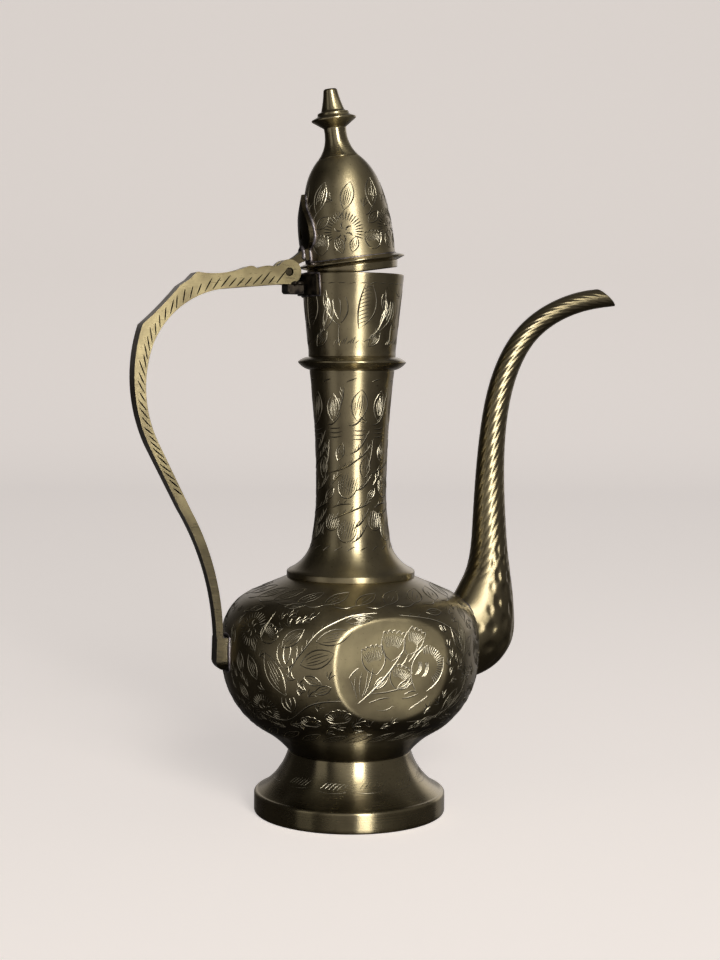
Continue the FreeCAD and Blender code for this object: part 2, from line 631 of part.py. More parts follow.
# Hinge leaf: a spade-shaped plate bent to the dome, with a tongue and a knuckle for the pin
def make_hinge_leaf():
    body = new_body("hinge_leaf")
    turned(body, "leaf_blank", [
        ("- leaf_core", "leaf_low"),
        ("- dome_radius - leaf_thick", "leaf_low"),
        ("- dome_radius - leaf_thick", "dome_side"),
        ("- dome_shoulder_radius - leaf_thick", "dome_shoulder", "dome_bend", -1),
        ("- leaf_core", "dome_shoulder"),
    ], "leaf_angle")
    spade = new_sketch(body, "spade_outline", "YZ_Plane")
    draw(spade, [
        ("- leaf_frame", "leaf_frame_low"),
        ("leaf_frame", "leaf_frame_low"),
        ("leaf_frame", "leaf_frame"),
        ("- leaf_frame", "leaf_frame"),
    ])
    draw(spade, [
        ("leaf_stalk_half", "leaf_low - leaf_thick"),
        ("leaf_stalk_half", "leaf_stalk"),
        ("leaf_wide_half", "leaf_wide", "leaf_lobe_bend", 1),
        ("leaf_neck_half", "leaf_neck", "leaf_side_bend", 1),
        ("0", "leaf_point", "leaf_point_bend", -1),
        ("- leaf_neck_half", "leaf_neck", "leaf_point_bend", -1),
        ("- leaf_wide_half", "leaf_wide", "leaf_side_bend", 1),
        ("- leaf_stalk_half", "leaf_stalk", "leaf_lobe_bend", 1),
        ("- leaf_stalk_half", "leaf_low - leaf_thick"),
    ])
    cut_through(body, "spade_cut", spade)
    drop = draw(new_sketch(body, "drop_outline", "YZ_Plane"), [
        ("- leaf_hole_radius", "leaf_hole_low + leaf_hole_radius"),
        ("leaf_hole_radius", "leaf_hole_low + leaf_hole_radius", "leaf_hole_bend", 1),
        ("0", "leaf_hole_high"),
    ])
    cut_through(body, "drop_hole", drop)
    tongue = draw(new_sketch(body, "tongue_outline"), [
        ("- leaf_core", "tongue_low"),
        ("- leaf_core", "tongue_high"),
        ("- dome_radius - leaf_thick", "tongue_high"),
        ("- pin_distance", "knuckle_radius - pin_drop", "tongue_bend", -1),
        ("- pin_distance", "- pin_drop"),
        ("- tongue_under_x", "tongue_under"),
        ("- dome_radius", "tongue_low"),
    ])
    padded(body, "tongue", tongue, "tongue_half + tongue_half")
    knuckle = draw_circle(new_sketch(body, "knuckle_outline"), "- pin_distance", "- pin_drop", "knuckle_radius")
    padded(body, "knuckle", knuckle, "tongue_half + tongue_half")
    cut_turned(body, "dome_seat", [
        ("0", "- dome_side"),
        ("dome_radius", "- dome_side"),
        ("dome_radius", "dome_side"),
        ("dome_shoulder_radius", "dome_shoulder", "dome_bend", 1),
        ("0", "dome_shoulder"),
    ])
    bore = draw_circle(new_sketch(body, "bore_outline"), "- pin_distance", "- pin_drop", "knuckle_bore")
    cut_through(body, "knuckle_hole", bore)
    return body


def ajar(body):
    """Set a lid piece on the mouth and turn it about the pin to the angle at which it rests."""
    seat = FreeCAD.Placement(FreeCAD.Vector(0, 0, amount("lid_plane")), FreeCAD.Rotation())
    pin = FreeCAD.Vector(-amount("pin_distance"), 0, amount("pin_height"))
    turn = FreeCAD.Placement(FreeCAD.Vector(), FreeCAD.Rotation(ACROSS, -amount("lid_ajar")), pin)
    body.Placement = turn.multiply(seat)


bowl, bowl_skin = make_bowl()
pot = [make_foot(), bowl, make_neck(), make_neck_ring(), make_mouth_cup(), make_spout(bowl_skin),
       make_handle(), make_hinge_saddle(), make_hinge_pin()]
lid = [make_lid_rim_ring(), make_lid_plug(), make_lid_dome(), make_finial(), make_hinge_leaf()]
for piece in lid:
    ajar(piece)
doc.recompute()

for item in doc.Objects:
    if "Invalid" in item.State or "Error" in item.State:
        raise RuntimeError(item.Name + " failed: " + str(item.State))
os.makedirs("parts", exist_ok=True)
for piece in pot + lid:
    shape = piece.Shape
    if shape.isNull() or not shape.isValid() or len(shape.Solids) != 1:
        raise RuntimeError(piece.Label + " is not one sound solid")
    shape.exportStep("parts/" + piece.Label + ".step")
    print(piece.Label, round(shape.Volume / 1000, 3), "cubic centimetres")
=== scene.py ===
# %% [markdown]
# # An engraved brass ewer
# The ewer is a set of spun and cast brass pieces, soldered on one axis, with a domed lid on a hinge pin.
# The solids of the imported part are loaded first. They fix every place and size, and the shells built here
# stand exactly where those solids stand.

# %% Load the frame
import json
import math
from collections import namedtuple

import bmesh
import bpy
import numpy as np
from mathutils import Matrix, Vector


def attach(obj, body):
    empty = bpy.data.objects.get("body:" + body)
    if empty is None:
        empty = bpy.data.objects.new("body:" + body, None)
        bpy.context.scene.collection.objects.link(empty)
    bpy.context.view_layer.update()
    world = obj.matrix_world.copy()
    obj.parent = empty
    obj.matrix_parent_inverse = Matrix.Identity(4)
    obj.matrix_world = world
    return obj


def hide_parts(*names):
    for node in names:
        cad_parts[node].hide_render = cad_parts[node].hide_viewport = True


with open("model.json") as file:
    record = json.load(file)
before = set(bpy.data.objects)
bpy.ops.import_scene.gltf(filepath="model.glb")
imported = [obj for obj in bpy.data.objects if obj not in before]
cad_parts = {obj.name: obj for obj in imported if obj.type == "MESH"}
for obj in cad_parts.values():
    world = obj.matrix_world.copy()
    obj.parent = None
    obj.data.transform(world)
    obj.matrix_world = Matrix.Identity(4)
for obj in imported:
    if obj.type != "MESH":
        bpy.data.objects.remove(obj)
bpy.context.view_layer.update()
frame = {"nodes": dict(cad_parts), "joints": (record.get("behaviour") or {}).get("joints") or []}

MM = 0.001

# %% [markdown]
# ## The camera
# A camera that looks level and shifts its film keeps upright edges upright; one that tilts makes them lean.
# Its place comes from the perspective of foot, ring and mouth: their ovals fit one eye height.

# %% Camera
VIEW_TURN = math.radians(-20.0)      # turn of the view about the ewer's axis, 0 looks along +Y
VIEW_DISTANCE = 612 * MM
EYE_HEIGHT = 160.9 * MM
PICTURE = (720, 960)                 # width and height of the picture in pixels
FOCAL_PIXELS = 1700.0
HORIZON_PIXEL = 362.0
AXIS_PIXEL = 352.0
FILM = 36.0                          # long side of the film in millimetres
LEAN = math.radians(0.375)           # the picture's slight lean to the right


def plan(degrees):
    """Level direction at an angle to the right of the camera, seen from the ewer's axis."""
    turn = np.radians(degrees) + VIEW_TURN
    return np.sin(turn), -np.cos(turn)


to_camera = Vector((*plan(0.0), 0.0))
to_right = Vector((*plan(90.0), 0.0))
up = Vector((0.0, 0.0, 1.0))
right_leaning = to_right * math.cos(LEAN) + up * math.sin(LEAN)
up_leaning = up * math.cos(LEAN) - to_right * math.sin(LEAN)
film = bpy.data.cameras.new("eye")
film.sensor_width = FILM
film.lens = FILM * FOCAL_PIXELS / PICTURE[1]
film.shift_x = (PICTURE[0] / 2 - AXIS_PIXEL) / PICTURE[1]
film.shift_y = (HORIZON_PIXEL - PICTURE[1] / 2) / PICTURE[1]
eye = bpy.data.objects.new("eye", film)
turned_to = Matrix((right_leaning, up_leaning, to_camera)).transposed().to_4x4()
eye.matrix_world = Matrix.Translation(to_camera * VIEW_DISTANCE + up * EYE_HEIGHT) @ turned_to
bpy.context.scene.collection.objects.link(eye)
bpy.context.scene.camera = eye
print("lens", round(film.lens, 2), "mm, shift", round(film.shift_x, 4), round(film.shift_y, 4))

# %% [markdown]
# ## Colours and nodes
# Colours are written as people read them, in hex, and turned to linear light here. One helper adds a shader
# or geometry node, sets what is given as a value and links what is given as a socket. A node given in place
# of a socket stands for its first output.

# %% Helpers for colours and nodes


def linear(code):
    """A hex colour as linear red, green, blue and alpha."""
    shares = [int(code[place:place + 2], 16) / 255 for place in (0, 2, 4)]
    return [c / 12.92 if c <= 0.04045 else ((c + 0.055) / 1.055) ** 2.4 for c in shares] + [1.0]


def wire(tree, node, inputs):
    """Set or link inputs of a node."""
    for name, value in inputs.items():
        if isinstance(value, bpy.types.Node):
            value = next(output for output in value.outputs if output.enabled)
        if isinstance(value, bpy.types.NodeSocket):
            tree.links.new(value, node.inputs[name])
        else:
            node.inputs[name].default_value = value


def add(tree, kind, inputs=None, **settings):
    """Add a node to a tree, with its settings, values and links."""
    node = tree.nodes.new(kind)
    for name, value in settings.items():
        setattr(node, name, value)
    wire(tree, node, inputs or {})
    return node


print("olive brass in linear light:", [round(share, 3) for share in linear("8F7D4E")])

# %% [markdown]
# ## The stage
# Polished metal shows its room, so the stage is two things at once. The eye meets a pale sweep, a floor
# that bends up into a wall. Mirrors meet a dimmer room that glows with painted light: bright towards the
# right of the wall and on the polished floor before the ewer, with painted shade at the wall's left and a
# darker top. A shader can ask what kind of ray has met it, and so the paint knows which of the two to be.

# %% Stage
SWEEP_BACK = 1.5                     # metres behind the ewer at which the floor starts to bend
SWEEP_FRONT = 3.0
SWEEP_BEND = 0.7                     # radius of the bend
SWEEP_BEND_STEPS = 12
SWEEP_TOP = 3.0
SWEEP_HALF = 3.0
SWEEP_PAINT = "403C39"               # what lights and mirrors meet
SWEEP_SEEN = "F3ECE8"                # what the eye meets
WALL_EDGE = (0.05, 0.30)             # heights between which floor becomes wall, in metres
# Fades of the paint: what drives each, two limits and the values there
FADES = {
    "window light": ("front", (0.18, 0.7), (1.0, 0.0)),  # taken near the ewer, not before the eye
    "seen": ("height", WALL_EDGE, (0.60, 0.54)),         # glow of floor and wall to the eye
    # the glow that mirrors see: painted light on wall and floor, painted shade at the wall's left
    "wall": ("height", WALL_EDGE, (0.0, 1.0)),
    "wall top": ("height", (0.9, 1.7), (1.0, 0.05)),
    "wall left": ("side", (-1.4, 0.5), (0.04, 0.8)),
    "floor near": ("front", (0.07, 0.25), (0.0, 0.36)),
    "floor far": ("front", (0.5, 1.2), (1.0, 0.1)),
    "floor right": ("side", (-0.05, 0.25), (1.0, 0.3)),
    "roughness": ("mirror", (0.0, 1.0), (0.8, 0.1)),     # matt to the eye and polished to mirrors
}
# Who meets a part of the paint, and the fades that make it up
PAINT_PARTS = [("eye", ["window light"]), ("eye", ["seen"]), ("mirror", ["wall", "wall top", "wall left"]),
               ("mirror", ["floor near", "floor far", "floor right"])]


def pale_paint():
    """Matt paint, pale to the eye. Mirrors see a glow of painted light on wall and floor, with painted shade
    at the wall's left.
    """
    material = bpy.data.materials.new("pale painted sweep")
    material.use_nodes = True
    tree = material.node_tree
    place = add(tree, "ShaderNodeTexCoord").outputs["Object"]
    height = add(tree, "ShaderNodeSeparateXYZ", {"Vector": place}).outputs["Z"]
    side, front = [add(tree, "ShaderNodeVectorMath", {0: place, 1: way}, operation="DOT_PRODUCT")
                   for way in (to_right, to_camera)]
    rays = add(tree, "ShaderNodeLightPath").outputs
    drives = {"height": height, "side": side, "front": front,
              "eye": rays["Is Camera Ray"], "mirror": rays["Is Glossy Ray"]}
    fades = {}
    for name, (drive, (low, high), (first, last)) in FADES.items():
        fades[name] = add(tree, "ShaderNodeMapRange", {
            "Value": drives[drive], "From Min": low, "From Max": high, "To Min": first, "To Max": last})
    products = []
    for ray, names in PAINT_PARTS:
        product = drives[ray]
        for name in names:
            product = add(tree, "ShaderNodeMath", {0: product, 1: fades[name]}, operation="MULTIPLY")
        products.append(product)
    lit, seen, wall, floor = products
    glow = seen
    for part in (wall, floor):
        glow = add(tree, "ShaderNodeMath", {0: glow, 1: part}, operation="ADD")
    paint = add(tree, "ShaderNodeMix", {"Factor": lit, "A": linear(SWEEP_PAINT), "B": linear(SWEEP_SEEN)},
                data_type="RGBA")
    wire(tree, tree.nodes["Principled BSDF"], {
        "Base Color": paint, "Roughness": fades["roughness"],
        "Emission Color": linear(SWEEP_SEEN), "Emission Strength": glow})
    return material


def make_sweep():
    """A floor that bends up into a wall behind the ewer."""
    bends = [math.pi / 2 * step / SWEEP_BEND_STEPS for step in range(SWEEP_BEND_STEPS + 1)]
    profile = [(SWEEP_FRONT, 0.0)]
    for bend in bends:
        profile.append((-SWEEP_BACK - SWEEP_BEND * math.sin(bend), SWEEP_BEND * (1 - math.cos(bend))))
    profile.append((-SWEEP_BACK - SWEEP_BEND, SWEEP_TOP))
    corners = []
    for reach, height in profile:
        for side in (-SWEEP_HALF, SWEEP_HALF):
            corners.append(to_camera * reach + to_right * side + up * height)
    faces = [(2 * k, 2 * k + 1, 2 * k + 3, 2 * k + 2) for k in range(len(profile) - 1)]
    mesh = bpy.data.meshes.new("sweep")
    mesh.from_pydata(corners, [], faces)
    mesh.shade_smooth()
    mesh.materials.append(pale_paint())
    sweep = bpy.data.objects.new("sweep", mesh)
    bpy.context.scene.collection.objects.link(sweep)
    print("sweep", len(faces), "faces")


make_sweep()

# %% [markdown]
# ## Light
# A tall soft window stands a little to the right of the eye and a dim doorway to its left. They make the
# bright and the olive band that run down every turned piece. The rest of the room is a world colour that is
# darkest on the left, with a soft glow round the window.

# %% Light
WINDOW_TONE = "FFFBF4"
WINDOW_DISTANCE = 1.5
WINDOW_HEIGHT = 0.50
WINDOW_ANGLE = 18.5                  # degrees to the right of the eye
EWER_MIDDLE = up * 0.13              # what both openings face
ROOM_LEFT = (0.15, "242220")         # places from left to right, and the room's tones there
ROOM_MIDDLE = (0.42, "504D4A")
ROOM_RIGHT = (0.85, "5C5956")
ROOM_SEEN = "DDD5D0"                 # what the eye meets beyond the sweep
GLOW_TONE = "ABA7A2"
GLOW_WAY = Vector((*plan(WINDOW_ANGLE - 14.0), 0.25)).normalized()
GLOW_EDGE = (42, 12)                 # degrees from that way between which the glow rises


def make_window(name, angle, size, power):
    """A tall soft light that faces the middle of the ewer."""
    light = bpy.data.lights.new(name, "AREA")
    light.shape = "RECTANGLE"
    light.size, light.size_y = size
    light.energy = power
    light.color = linear(WINDOW_TONE)[:3]
    lamp = bpy.data.objects.new(name, light)
    lamp.location = Vector((*plan(angle), 0.0)) * WINDOW_DISTANCE + up * WINDOW_HEIGHT
    lamp.rotation_euler = (EWER_MIDDLE - lamp.location).to_track_quat("-Z", "Y").to_euler()
    bpy.context.scene.collection.objects.link(lamp)
    print(name, size, "metres,", power, "watts")


def light_room():
    """A dim room, darkest on the left, with a soft glow round the window."""
    world = bpy.data.worlds.new("room")
    bpy.context.scene.world = world
    world.use_nodes = True
    tree = world.node_tree
    way = add(tree, "ShaderNodeTexCoord").outputs["Generated"]
    sideways, toward = [add(tree, "ShaderNodeVectorMath", {0: way, 1: axis}, operation="DOT_PRODUCT")
                        for axis in (to_right, GLOW_WAY)]
    from_left = add(tree, "ShaderNodeMapRange", {"Value": sideways, "From Min": -1.0})
    ramp = add(tree, "ShaderNodeValToRGB", {"Fac": from_left})
    stops = ramp.color_ramp.elements
    for stop, (position, tone) in zip(stops, (ROOM_LEFT, ROOM_RIGHT)):
        stop.position, stop.color = position, linear(tone)
    stops.new(ROOM_MIDDLE[0]).color = linear(ROOM_MIDDLE[1])
    far, near = [math.cos(math.radians(angle)) for angle in GLOW_EDGE]
    glow = add(tree, "ShaderNodeMapRange", {"Value": toward, "From Min": far, "From Max": near},
               interpolation_type="SMOOTHSTEP")
    mirrored = add(tree, "ShaderNodeMix", {"Factor": glow, "A": ramp, "B": linear(GLOW_TONE)},
                   data_type="RGBA")
    seen = add(tree, "ShaderNodeLightPath").outputs["Is Camera Ray"]
    room = add(tree, "ShaderNodeMix", {"Factor": seen, "A": mirrored, "B": linear(ROOM_SEEN)},
               data_type="RGBA")
    wire(tree, tree.nodes["Background"], {"Color": room})


light_room()
make_window("window", WINDOW_ANGLE, size=(0.42, 1.5), power=18.0)
make_window("doorway", -53.0, size=(0.55, 1.3), power=0.7)
bpy.context.scene.view_settings.view_transform = "Standard"

# %% [markdown]
# ## What every brass shares
# Old brass goes olive, with brown in the low places and a paler yellow where hands rub. A thin worn lacquer
# whitens its highlights. Noise in object space gives patches of a real size. The height of a point can darken
# the colour towards the bottom: painted shade under the bowl, for the dark table it mirrors, and a plain
# darkening on the handle.

# %% Metal and patina
OLD_LACQUER = 0.8                    # share of the lacquer that is left
BURNT_LACQUER = 0.15                 # what the torch leaves of it
LACQUER_ROUGHNESS = 0.22
PATINA_EDGE = (0.35, 0.68)           # noise between which a patch goes from tarnished to rubbed
# tone of a darkening towards the bottom: painted shade under the bowl, a plain darkening on the handle
DARKER_BELOW_TONE = "1F180E"
NO_DARKENING = (0.0, 0.0, 1.0)              # no darkening at any height


def metal(name, lacquer=OLD_LACQUER):
    """A new metal material: its node tree and its shader."""
    material = bpy.data.materials.new(name)
    material.use_nodes = True
    tree = material.node_tree
    shader = tree.nodes["Principled BSDF"]
    wire(tree, shader, {"Metallic": 1.0, "Coat Weight": lacquer, "Coat Roughness": LACQUER_ROUGHNESS})
    return material, tree, shader


def patina(tree, low, high, size, darker_below=NO_DARKENING):
    """Colour that drifts between a tarnished and a rubbed tone in patches of a real size.

    A darker tone below, as (share, low, high), fades out upwards between two heights; on the bowl it is
    painted shade.
    """
    place = add(tree, "ShaderNodeTexCoord").outputs["Object"]
    patches = add(tree, "ShaderNodeTexNoise", {"Vector": place, "Scale": 1 / size, "Detail": 4.0})
    share = add(tree, "ShaderNodeMapRange", {
        "Value": patches, "From Min": PATINA_EDGE[0], "From Max": PATINA_EDGE[1]})
    tone = add(tree, "ShaderNodeMix", {"Factor": share, "A": linear(low), "B": linear(high)},
               data_type="RGBA")
    black = add(tree, "ShaderNodeMapRange", {
        "Value": add(tree, "ShaderNodeSeparateXYZ", {"Vector": place}).outputs["Z"],
        "From Min": darker_below[1], "From Max": darker_below[2], "To Min": darker_below[0], "To Max": 0.0},
        interpolation_type="SMOOTHSTEP")
    colour = add(tree, "ShaderNodeMix", {"Factor": black, "A": tone, "B": linear(DARKER_BELOW_TONE)}, data_type="RGBA")
    return colour, share, place


print("patina drifts over noise from", PATINA_EDGE[0], "to", PATINA_EDGE[1])

# %% [markdown]
# ## Spun brass
# The shells are spun and burnished on a lathe, which leaves fine rings. Each shell keeps the distance along
# its outline as an attribute, and that drives the rings. An anisotropic shader with a tangent that runs
# round the axis stretches every highlight up and down the piece, as such rings do.

# %% Spun brass
RING_PITCH = 0.45 * MM               # burnishing rings; real ones are finer, these still show
RING_DEPTH = 0.02 * MM
RING_ROUGHNESS = (0.5, 1.6)          # sums of ring and patch noise for least and most roughness
PATCH_SIZE = 16 * MM
SPECK_SIZE = 0.9 * MM
SPECK_EDGE = (0.62, 0.78)            # noise between which a dark speck appears
SPECK_SHARE = 0.55
SPECK_TONE = "3B3220"
ACROSS_THE_RINGS = 0.25              # quarter turn of the anisotropy from the tangent


def spun_brass(name, low, high, rough, brushed, darker_below=NO_DARKENING):
    """Spun brass, burnished on the lathe and aged: rings of light with a soft olive bloom.

    The higher brushed is, the further the rings stretch a highlight up and down a piece.
    """
    material, tree, shader = metal(name)
    colour, share, place = patina(tree, low, high, PATCH_SIZE, darker_below)
    along = add(tree, "ShaderNodeAttribute", attribute_name="along").outputs["Fac"]
    turns = add(tree, "ShaderNodeMath", {0: along, 1: 1 / RING_PITCH}, operation="MULTIPLY")
    rings = add(tree, "ShaderNodeTexNoise", {"W": turns, "Scale": 1.0, "Detail": 2.0}, noise_dimensions="1D")
    specks = add(tree, "ShaderNodeTexNoise", {"Vector": place, "Scale": 1 / SPECK_SIZE, "Detail": 3.0})
    spot = add(tree, "ShaderNodeMapRange", {
        "Value": specks, "From Min": SPECK_EDGE[0], "From Max": SPECK_EDGE[1], "To Max": SPECK_SHARE})
    speckled = add(tree, "ShaderNodeMix", {"Factor": spot, "A": colour, "B": linear(SPECK_TONE)},
                   data_type="RGBA")
    uneven = add(tree, "ShaderNodeMath", {0: rings, 1: share}, operation="ADD")
    roughness = add(tree, "ShaderNodeMapRange", {
        "Value": uneven, "From Min": RING_ROUGHNESS[0], "From Max": RING_ROUGHNESS[1],
        "To Min": rough[0], "To Max": rough[1]})
    bump = add(tree, "ShaderNodeBump", {"Height": rings, "Strength": 0.35, "Distance": RING_DEPTH})
    axes = add(tree, "ShaderNodeSeparateXYZ", {"Vector": place}).outputs
    back = add(tree, "ShaderNodeMath", {0: axes["Y"], 1: -1.0}, operation="MULTIPLY")
    round_about = add(tree, "ShaderNodeCombineXYZ", {"X": back, "Y": axes["X"]})
    wire(tree, shader, {
        "Base Color": speckled, "Roughness": roughness, "Normal": bump, "Tangent": round_about,
        "Anisotropic": brushed, "Anisotropic Rotation": ACROSS_THE_RINGS})
    return material


SHELL = spun_brass("antique brass, spun and burnished", "978B6C", "BFB28C", (0.30, 0.44), 0.8)
# painted shade: the bowl darkens below 48 mm, standing in for the dark table that its underside mirrors
BOWL_BRASS = spun_brass("antique brass, spun and dulled", "978B6C", "BDB08A", (0.31, 0.42), 0.3,
                        (0.9, 33 * MM, 48 * MM))
LID_BRASS = spun_brass("antique brass, spun and handled", "9C9071", "C4B791", (0.40, 0.50), 0.5)
TURNED = spun_brass("antique brass, turned and rubbed", "988C6D", "C2B58E", (0.22, 0.34), 0.85)
print("spun:", [finish.name for finish in (SHELL, BOWL_BRASS, LID_BRASS, TURNED)])

# %% [markdown]
# ## Cast brass, cut brass and solder
# The castings are filed, so their scratches lie in short straight runs: a noise squeezed along one way. A
# colour ramp across a graver's furrow paints one flank bright and one dark, as painted highlight and painted
# shade. Solder is grey and lumpy. Saddle, pin, leaf and the solder by the ears are painted dark, as painted
# shade at the hinge.

# %% Cast brass, cut brass and solder
CAST_PATCH = 7 * MM
SCRATCH_WIDTH = 0.5 * MM
SCRATCH_STRETCH = 0.12
SCRATCH_TURN = math.radians(35)
SCRATCH_DEPTH = 0.04 * MM
WORN_EDGE = (0.58, 0.75)             # noise between which a scratch wears through to the low tone
WORN_SHARE = 0.5
CUT_ROUGHNESS = 0.34
SOLDER_PATCH = 2.5 * MM
LUMP_SIZE = 1.2 * MM
LUMP_DEPTH = 0.15 * MM


def cast_brass(name, low, high, rough, lacquer=OLD_LACQUER, darker_below=NO_DARKENING):
    """Cast brass dressed with a file: pale on the worn faces, with short straight scratches."""
    material, tree, shader = metal(name, lacquer)
    colour, _, place = patina(tree, low, high, CAST_PATCH, darker_below)
    slanted = add(tree, "ShaderNodeMapping", {
        "Vector": place, "Rotation": (0.0, SCRATCH_TURN, 0.0), "Scale": (SCRATCH_STRETCH, 1.0, 1.0)})
    scratches = add(tree, "ShaderNodeTexNoise", {
        "Vector": slanted, "Scale": 1 / SCRATCH_WIDTH, "Detail": 2.0})
    bare = add(tree, "ShaderNodeMapRange", {
        "Value": scratches, "From Min": WORN_EDGE[0], "From Max": WORN_EDGE[1], "To Max": WORN_SHARE})
    filed = add(tree, "ShaderNodeMix", {"Factor": bare, "A": colour, "B": linear(low)}, data_type="RGBA")
    roughness = add(tree, "ShaderNodeMapRange", {
        "Value": scratches, "From Min": 0.3, "From Max": 0.7, "To Min": rough[0], "To Max": rough[1]})
    bump = add(tree, "ShaderNodeBump", {"Height": scratches, "Strength": 0.4, "Distance": SCRATCH_DEPTH})
    wire(tree, shader, {"Base Color": filed, "Roughness": roughness, "Normal": bump})
    return material


def cut_brass(name, bright, dark, rim):
    """Brass cut by a graver: a ramp across the furrow paints one flank bright and the other dark, as painted
    highlight and shade.
    """
    material, tree, shader = metal(name)
    across = add(tree, "ShaderNodeAttribute", attribute_name="across").outputs["Fac"]
    ramp = add(tree, "ShaderNodeValToRGB", {
        "Fac": add(tree, "ShaderNodeMapRange", {"Value": across, "From Min": -1.0})})
    stops = ramp.color_ramp.elements
    for stop in stops:
        stop.color = linear(rim)
    # painted highlight on one flank, painted shade on the other
    for position, colour in ((0.12, bright), (0.47, bright), (0.53, dark), (0.88, dark)):
        stops.new(position).color = linear(colour)
    wire(tree, shader, {"Base Color": ramp, "Roughness": CUT_ROUGHNESS})
    return material


def tin_solder(name, low, high, rough):
    """Soft solder: grey with a cold cast, lumpy where it ran."""
    material, tree, shader = metal(name, BURNT_LACQUER)
    colour, share, place = patina(tree, low, high, SOLDER_PATCH)
    roughness = add(tree, "ShaderNodeMapRange", {"Value": share, "To Min": rough[0], "To Max": rough[1]})
    lumps = add(tree, "ShaderNodeTexNoise", {"Vector": place, "Scale": 1 / LUMP_SIZE, "Detail": 2.0})
    bump = add(tree, "ShaderNodeBump", {"Height": lumps, "Strength": 0.6, "Distance": LUMP_DEPTH})
    wire(tree, shader, {"Base Color": colour, "Roughness": roughness, "Normal": bump})
    return material


# the handle darkens towards its foot, below 140 mm
CAST = cast_brass("cast brass, filed and worn", "776C4E", "9C906B", (0.26, 0.40),
                  darker_below=(0.7, 82 * MM, 140 * MM))
# painted shade: leaf and pin are darkened where the hinge lies in shade
DARK_CAST = cast_brass("cast brass, darkened as painted shade at the hinge", "231F17", "4E4634", (0.34, 0.54), BURNT_LACQUER)
# both cut finishes paint one flank lighter than the other, as painted highlight and shade
CUT = cut_brass("brass cut by a graver, flanks painted lit and shaded", "E4DBC0", "17130C", "6B6148")
BLACK_CUT = cut_brass("brass, struck by a chisel and blackened", "1C1812", "0E0C08", "2A251A")
SOLDER = tin_solder("tin solder, run and wiped", "6F686C", "B9B3B8", (0.34, 0.55))
# painted shade: the saddle and the solder by the ears are darkened where they lie under the hinge
BLACK_SOLDER = tin_solder("tin solder, darkened as painted shade under the hinge", "171412", "4A433A", (0.40, 0.62))
print("cast:", CAST.name, "and", DARK_CAST.name)
print("cut:", CUT.name, "and", BLACK_CUT.name)
print("soldered:", SOLDER.name, "and", BLACK_SOLDER.name)

# %% [markdown]
# ## Outlines
# A spun shell is its outline carried round the axis. The outline is written as corners and arcs in
# millimetres. Each sharp corner gets a tiny round, because real edges catch a line of light.

# %% Helpers for outlines
ROUND = 0.35                         # round on a worn edge, in millimetres
SHARP = math.radians(20)
EDGE_LIMIT = 0.45                    # share of a short edge that a round may take
ROUND_SHARES = (0.0, 0.33, 0.67, 1.0)
ON_AXIS = 1e-6


def outline_points(outline, step):
    """Points along an outline of corners (r, z) and arcs (r, z, bend, turn).

    An arc's turn is 1 for left and -1 for right.
    """
    points = [np.array(outline[0][:2], float)]
    for corner in outline[1:]:
        start, end = points[-1], np.array(corner[:2], float)
        chord = end - start
        length = math.hypot(*chord)
        if len(corner) == 2:
            count = max(1, math.ceil(length / step))
            points += [start + chord * k / count for k in range(1, count + 1)]
            continue
        bend, turn = corner[2:]
        rise = math.sqrt(max(bend ** 2 - (length / 2) ** 2, 0.0))
        centre = (start + end) / 2 + turn * rise * np.array((-chord[1], chord[0])) / length
        first = math.atan2(*(start - centre)[::-1])
        sweep = turn * 2 * math.asin(min(1.0, length / 2 / bend))
        count = max(3, math.ceil(abs(sweep) * bend / step))
        angles = [first + sweep * k / count for k in range(1, count + 1)]
        points += [centre + bend * np.array((math.cos(a), math.sin(a))) for a in angles]
    return np.array(points)


def worn(points, reach, closed):
    """The same points with every sharp corner drawn round."""
    result = []
    last = len(points) - 1
    for k, corner in enumerate(points):
        if not closed and k in (0, last):
            result.append(corner)
            continue
        back = points[k - 1] - corner
        ahead = points[(k + 1) % len(points)] - corner
        sizes = math.hypot(*back), math.hypot(*ahead)
        cosine = -(back @ ahead) / (sizes[0] * sizes[1])
        if math.acos(max(-1.0, min(1.0, cosine))) < SHARP or corner[0] < ON_AXIS:
            result.append(corner)
            continue
        start = corner + back * min(reach, EDGE_LIMIT * sizes[0]) / sizes[0]
        end = corner + ahead * min(reach, EDGE_LIMIT * sizes[1]) / sizes[1]
        for share in ROUND_SHARES:
            near = start + (corner - start) * share
            far = corner + (end - corner) * share
            result.append(near + (far - near) * share)
    return np.array(result)


def run_of(points):
    """The distance of each point from the first, along the line."""
    return np.concatenate(([0.0], np.cumsum(np.hypot(*np.diff(points, axis=0).T))))


quarter = outline_points([(10.0, 0.0), (0.0, 10.0, 10.0, 1)], 0.5)
print("a quarter of a circle,", round(run_of(quarter)[-1], 2), "mm long, has", len(quarter), "points")

# %% [markdown]
# ## Turning a shell
# The points of an outline are turned round the axis in one step and joined by a grid of faces. A Screw
# modifier could do the same, but here each point also keeps its distance along the outline for the
# burnishing rings.

# %% Helpers for turned pieces
SIDES = 320
MERGE = 1e-6                         # metres within which two points are one
TINY = 1e-7                          # and within which an edge is none


def grid_faces(rows, columns, close_rows, close_columns):
    """Four-sided faces of a grid of points, row by row."""
    faces = []
    for row in range(rows if close_rows else rows - 1):
        above = (row + 1) % rows
        for column in range(columns if close_columns else columns - 1):
            beside = (column + 1) % columns
            faces.append((row * columns + column, row * columns + beside,
                          above * columns + beside, above * columns + column))
    return faces


def new_piece(name, mesh, material):
    """A named object of one material."""
    mesh.materials.clear()
    mesh.materials.append(material)
    piece = bpy.data.objects.new(name, mesh)
    bpy.context.scene.collection.objects.link(piece)
    return piece


def keep_value(mesh, name, values):
    """Keep a number on every point of a mesh, for a material or a node tree."""
    mesh.attributes.new(name, "FLOAT", "POINT").data.foreach_set("value", values.astype(np.float32))


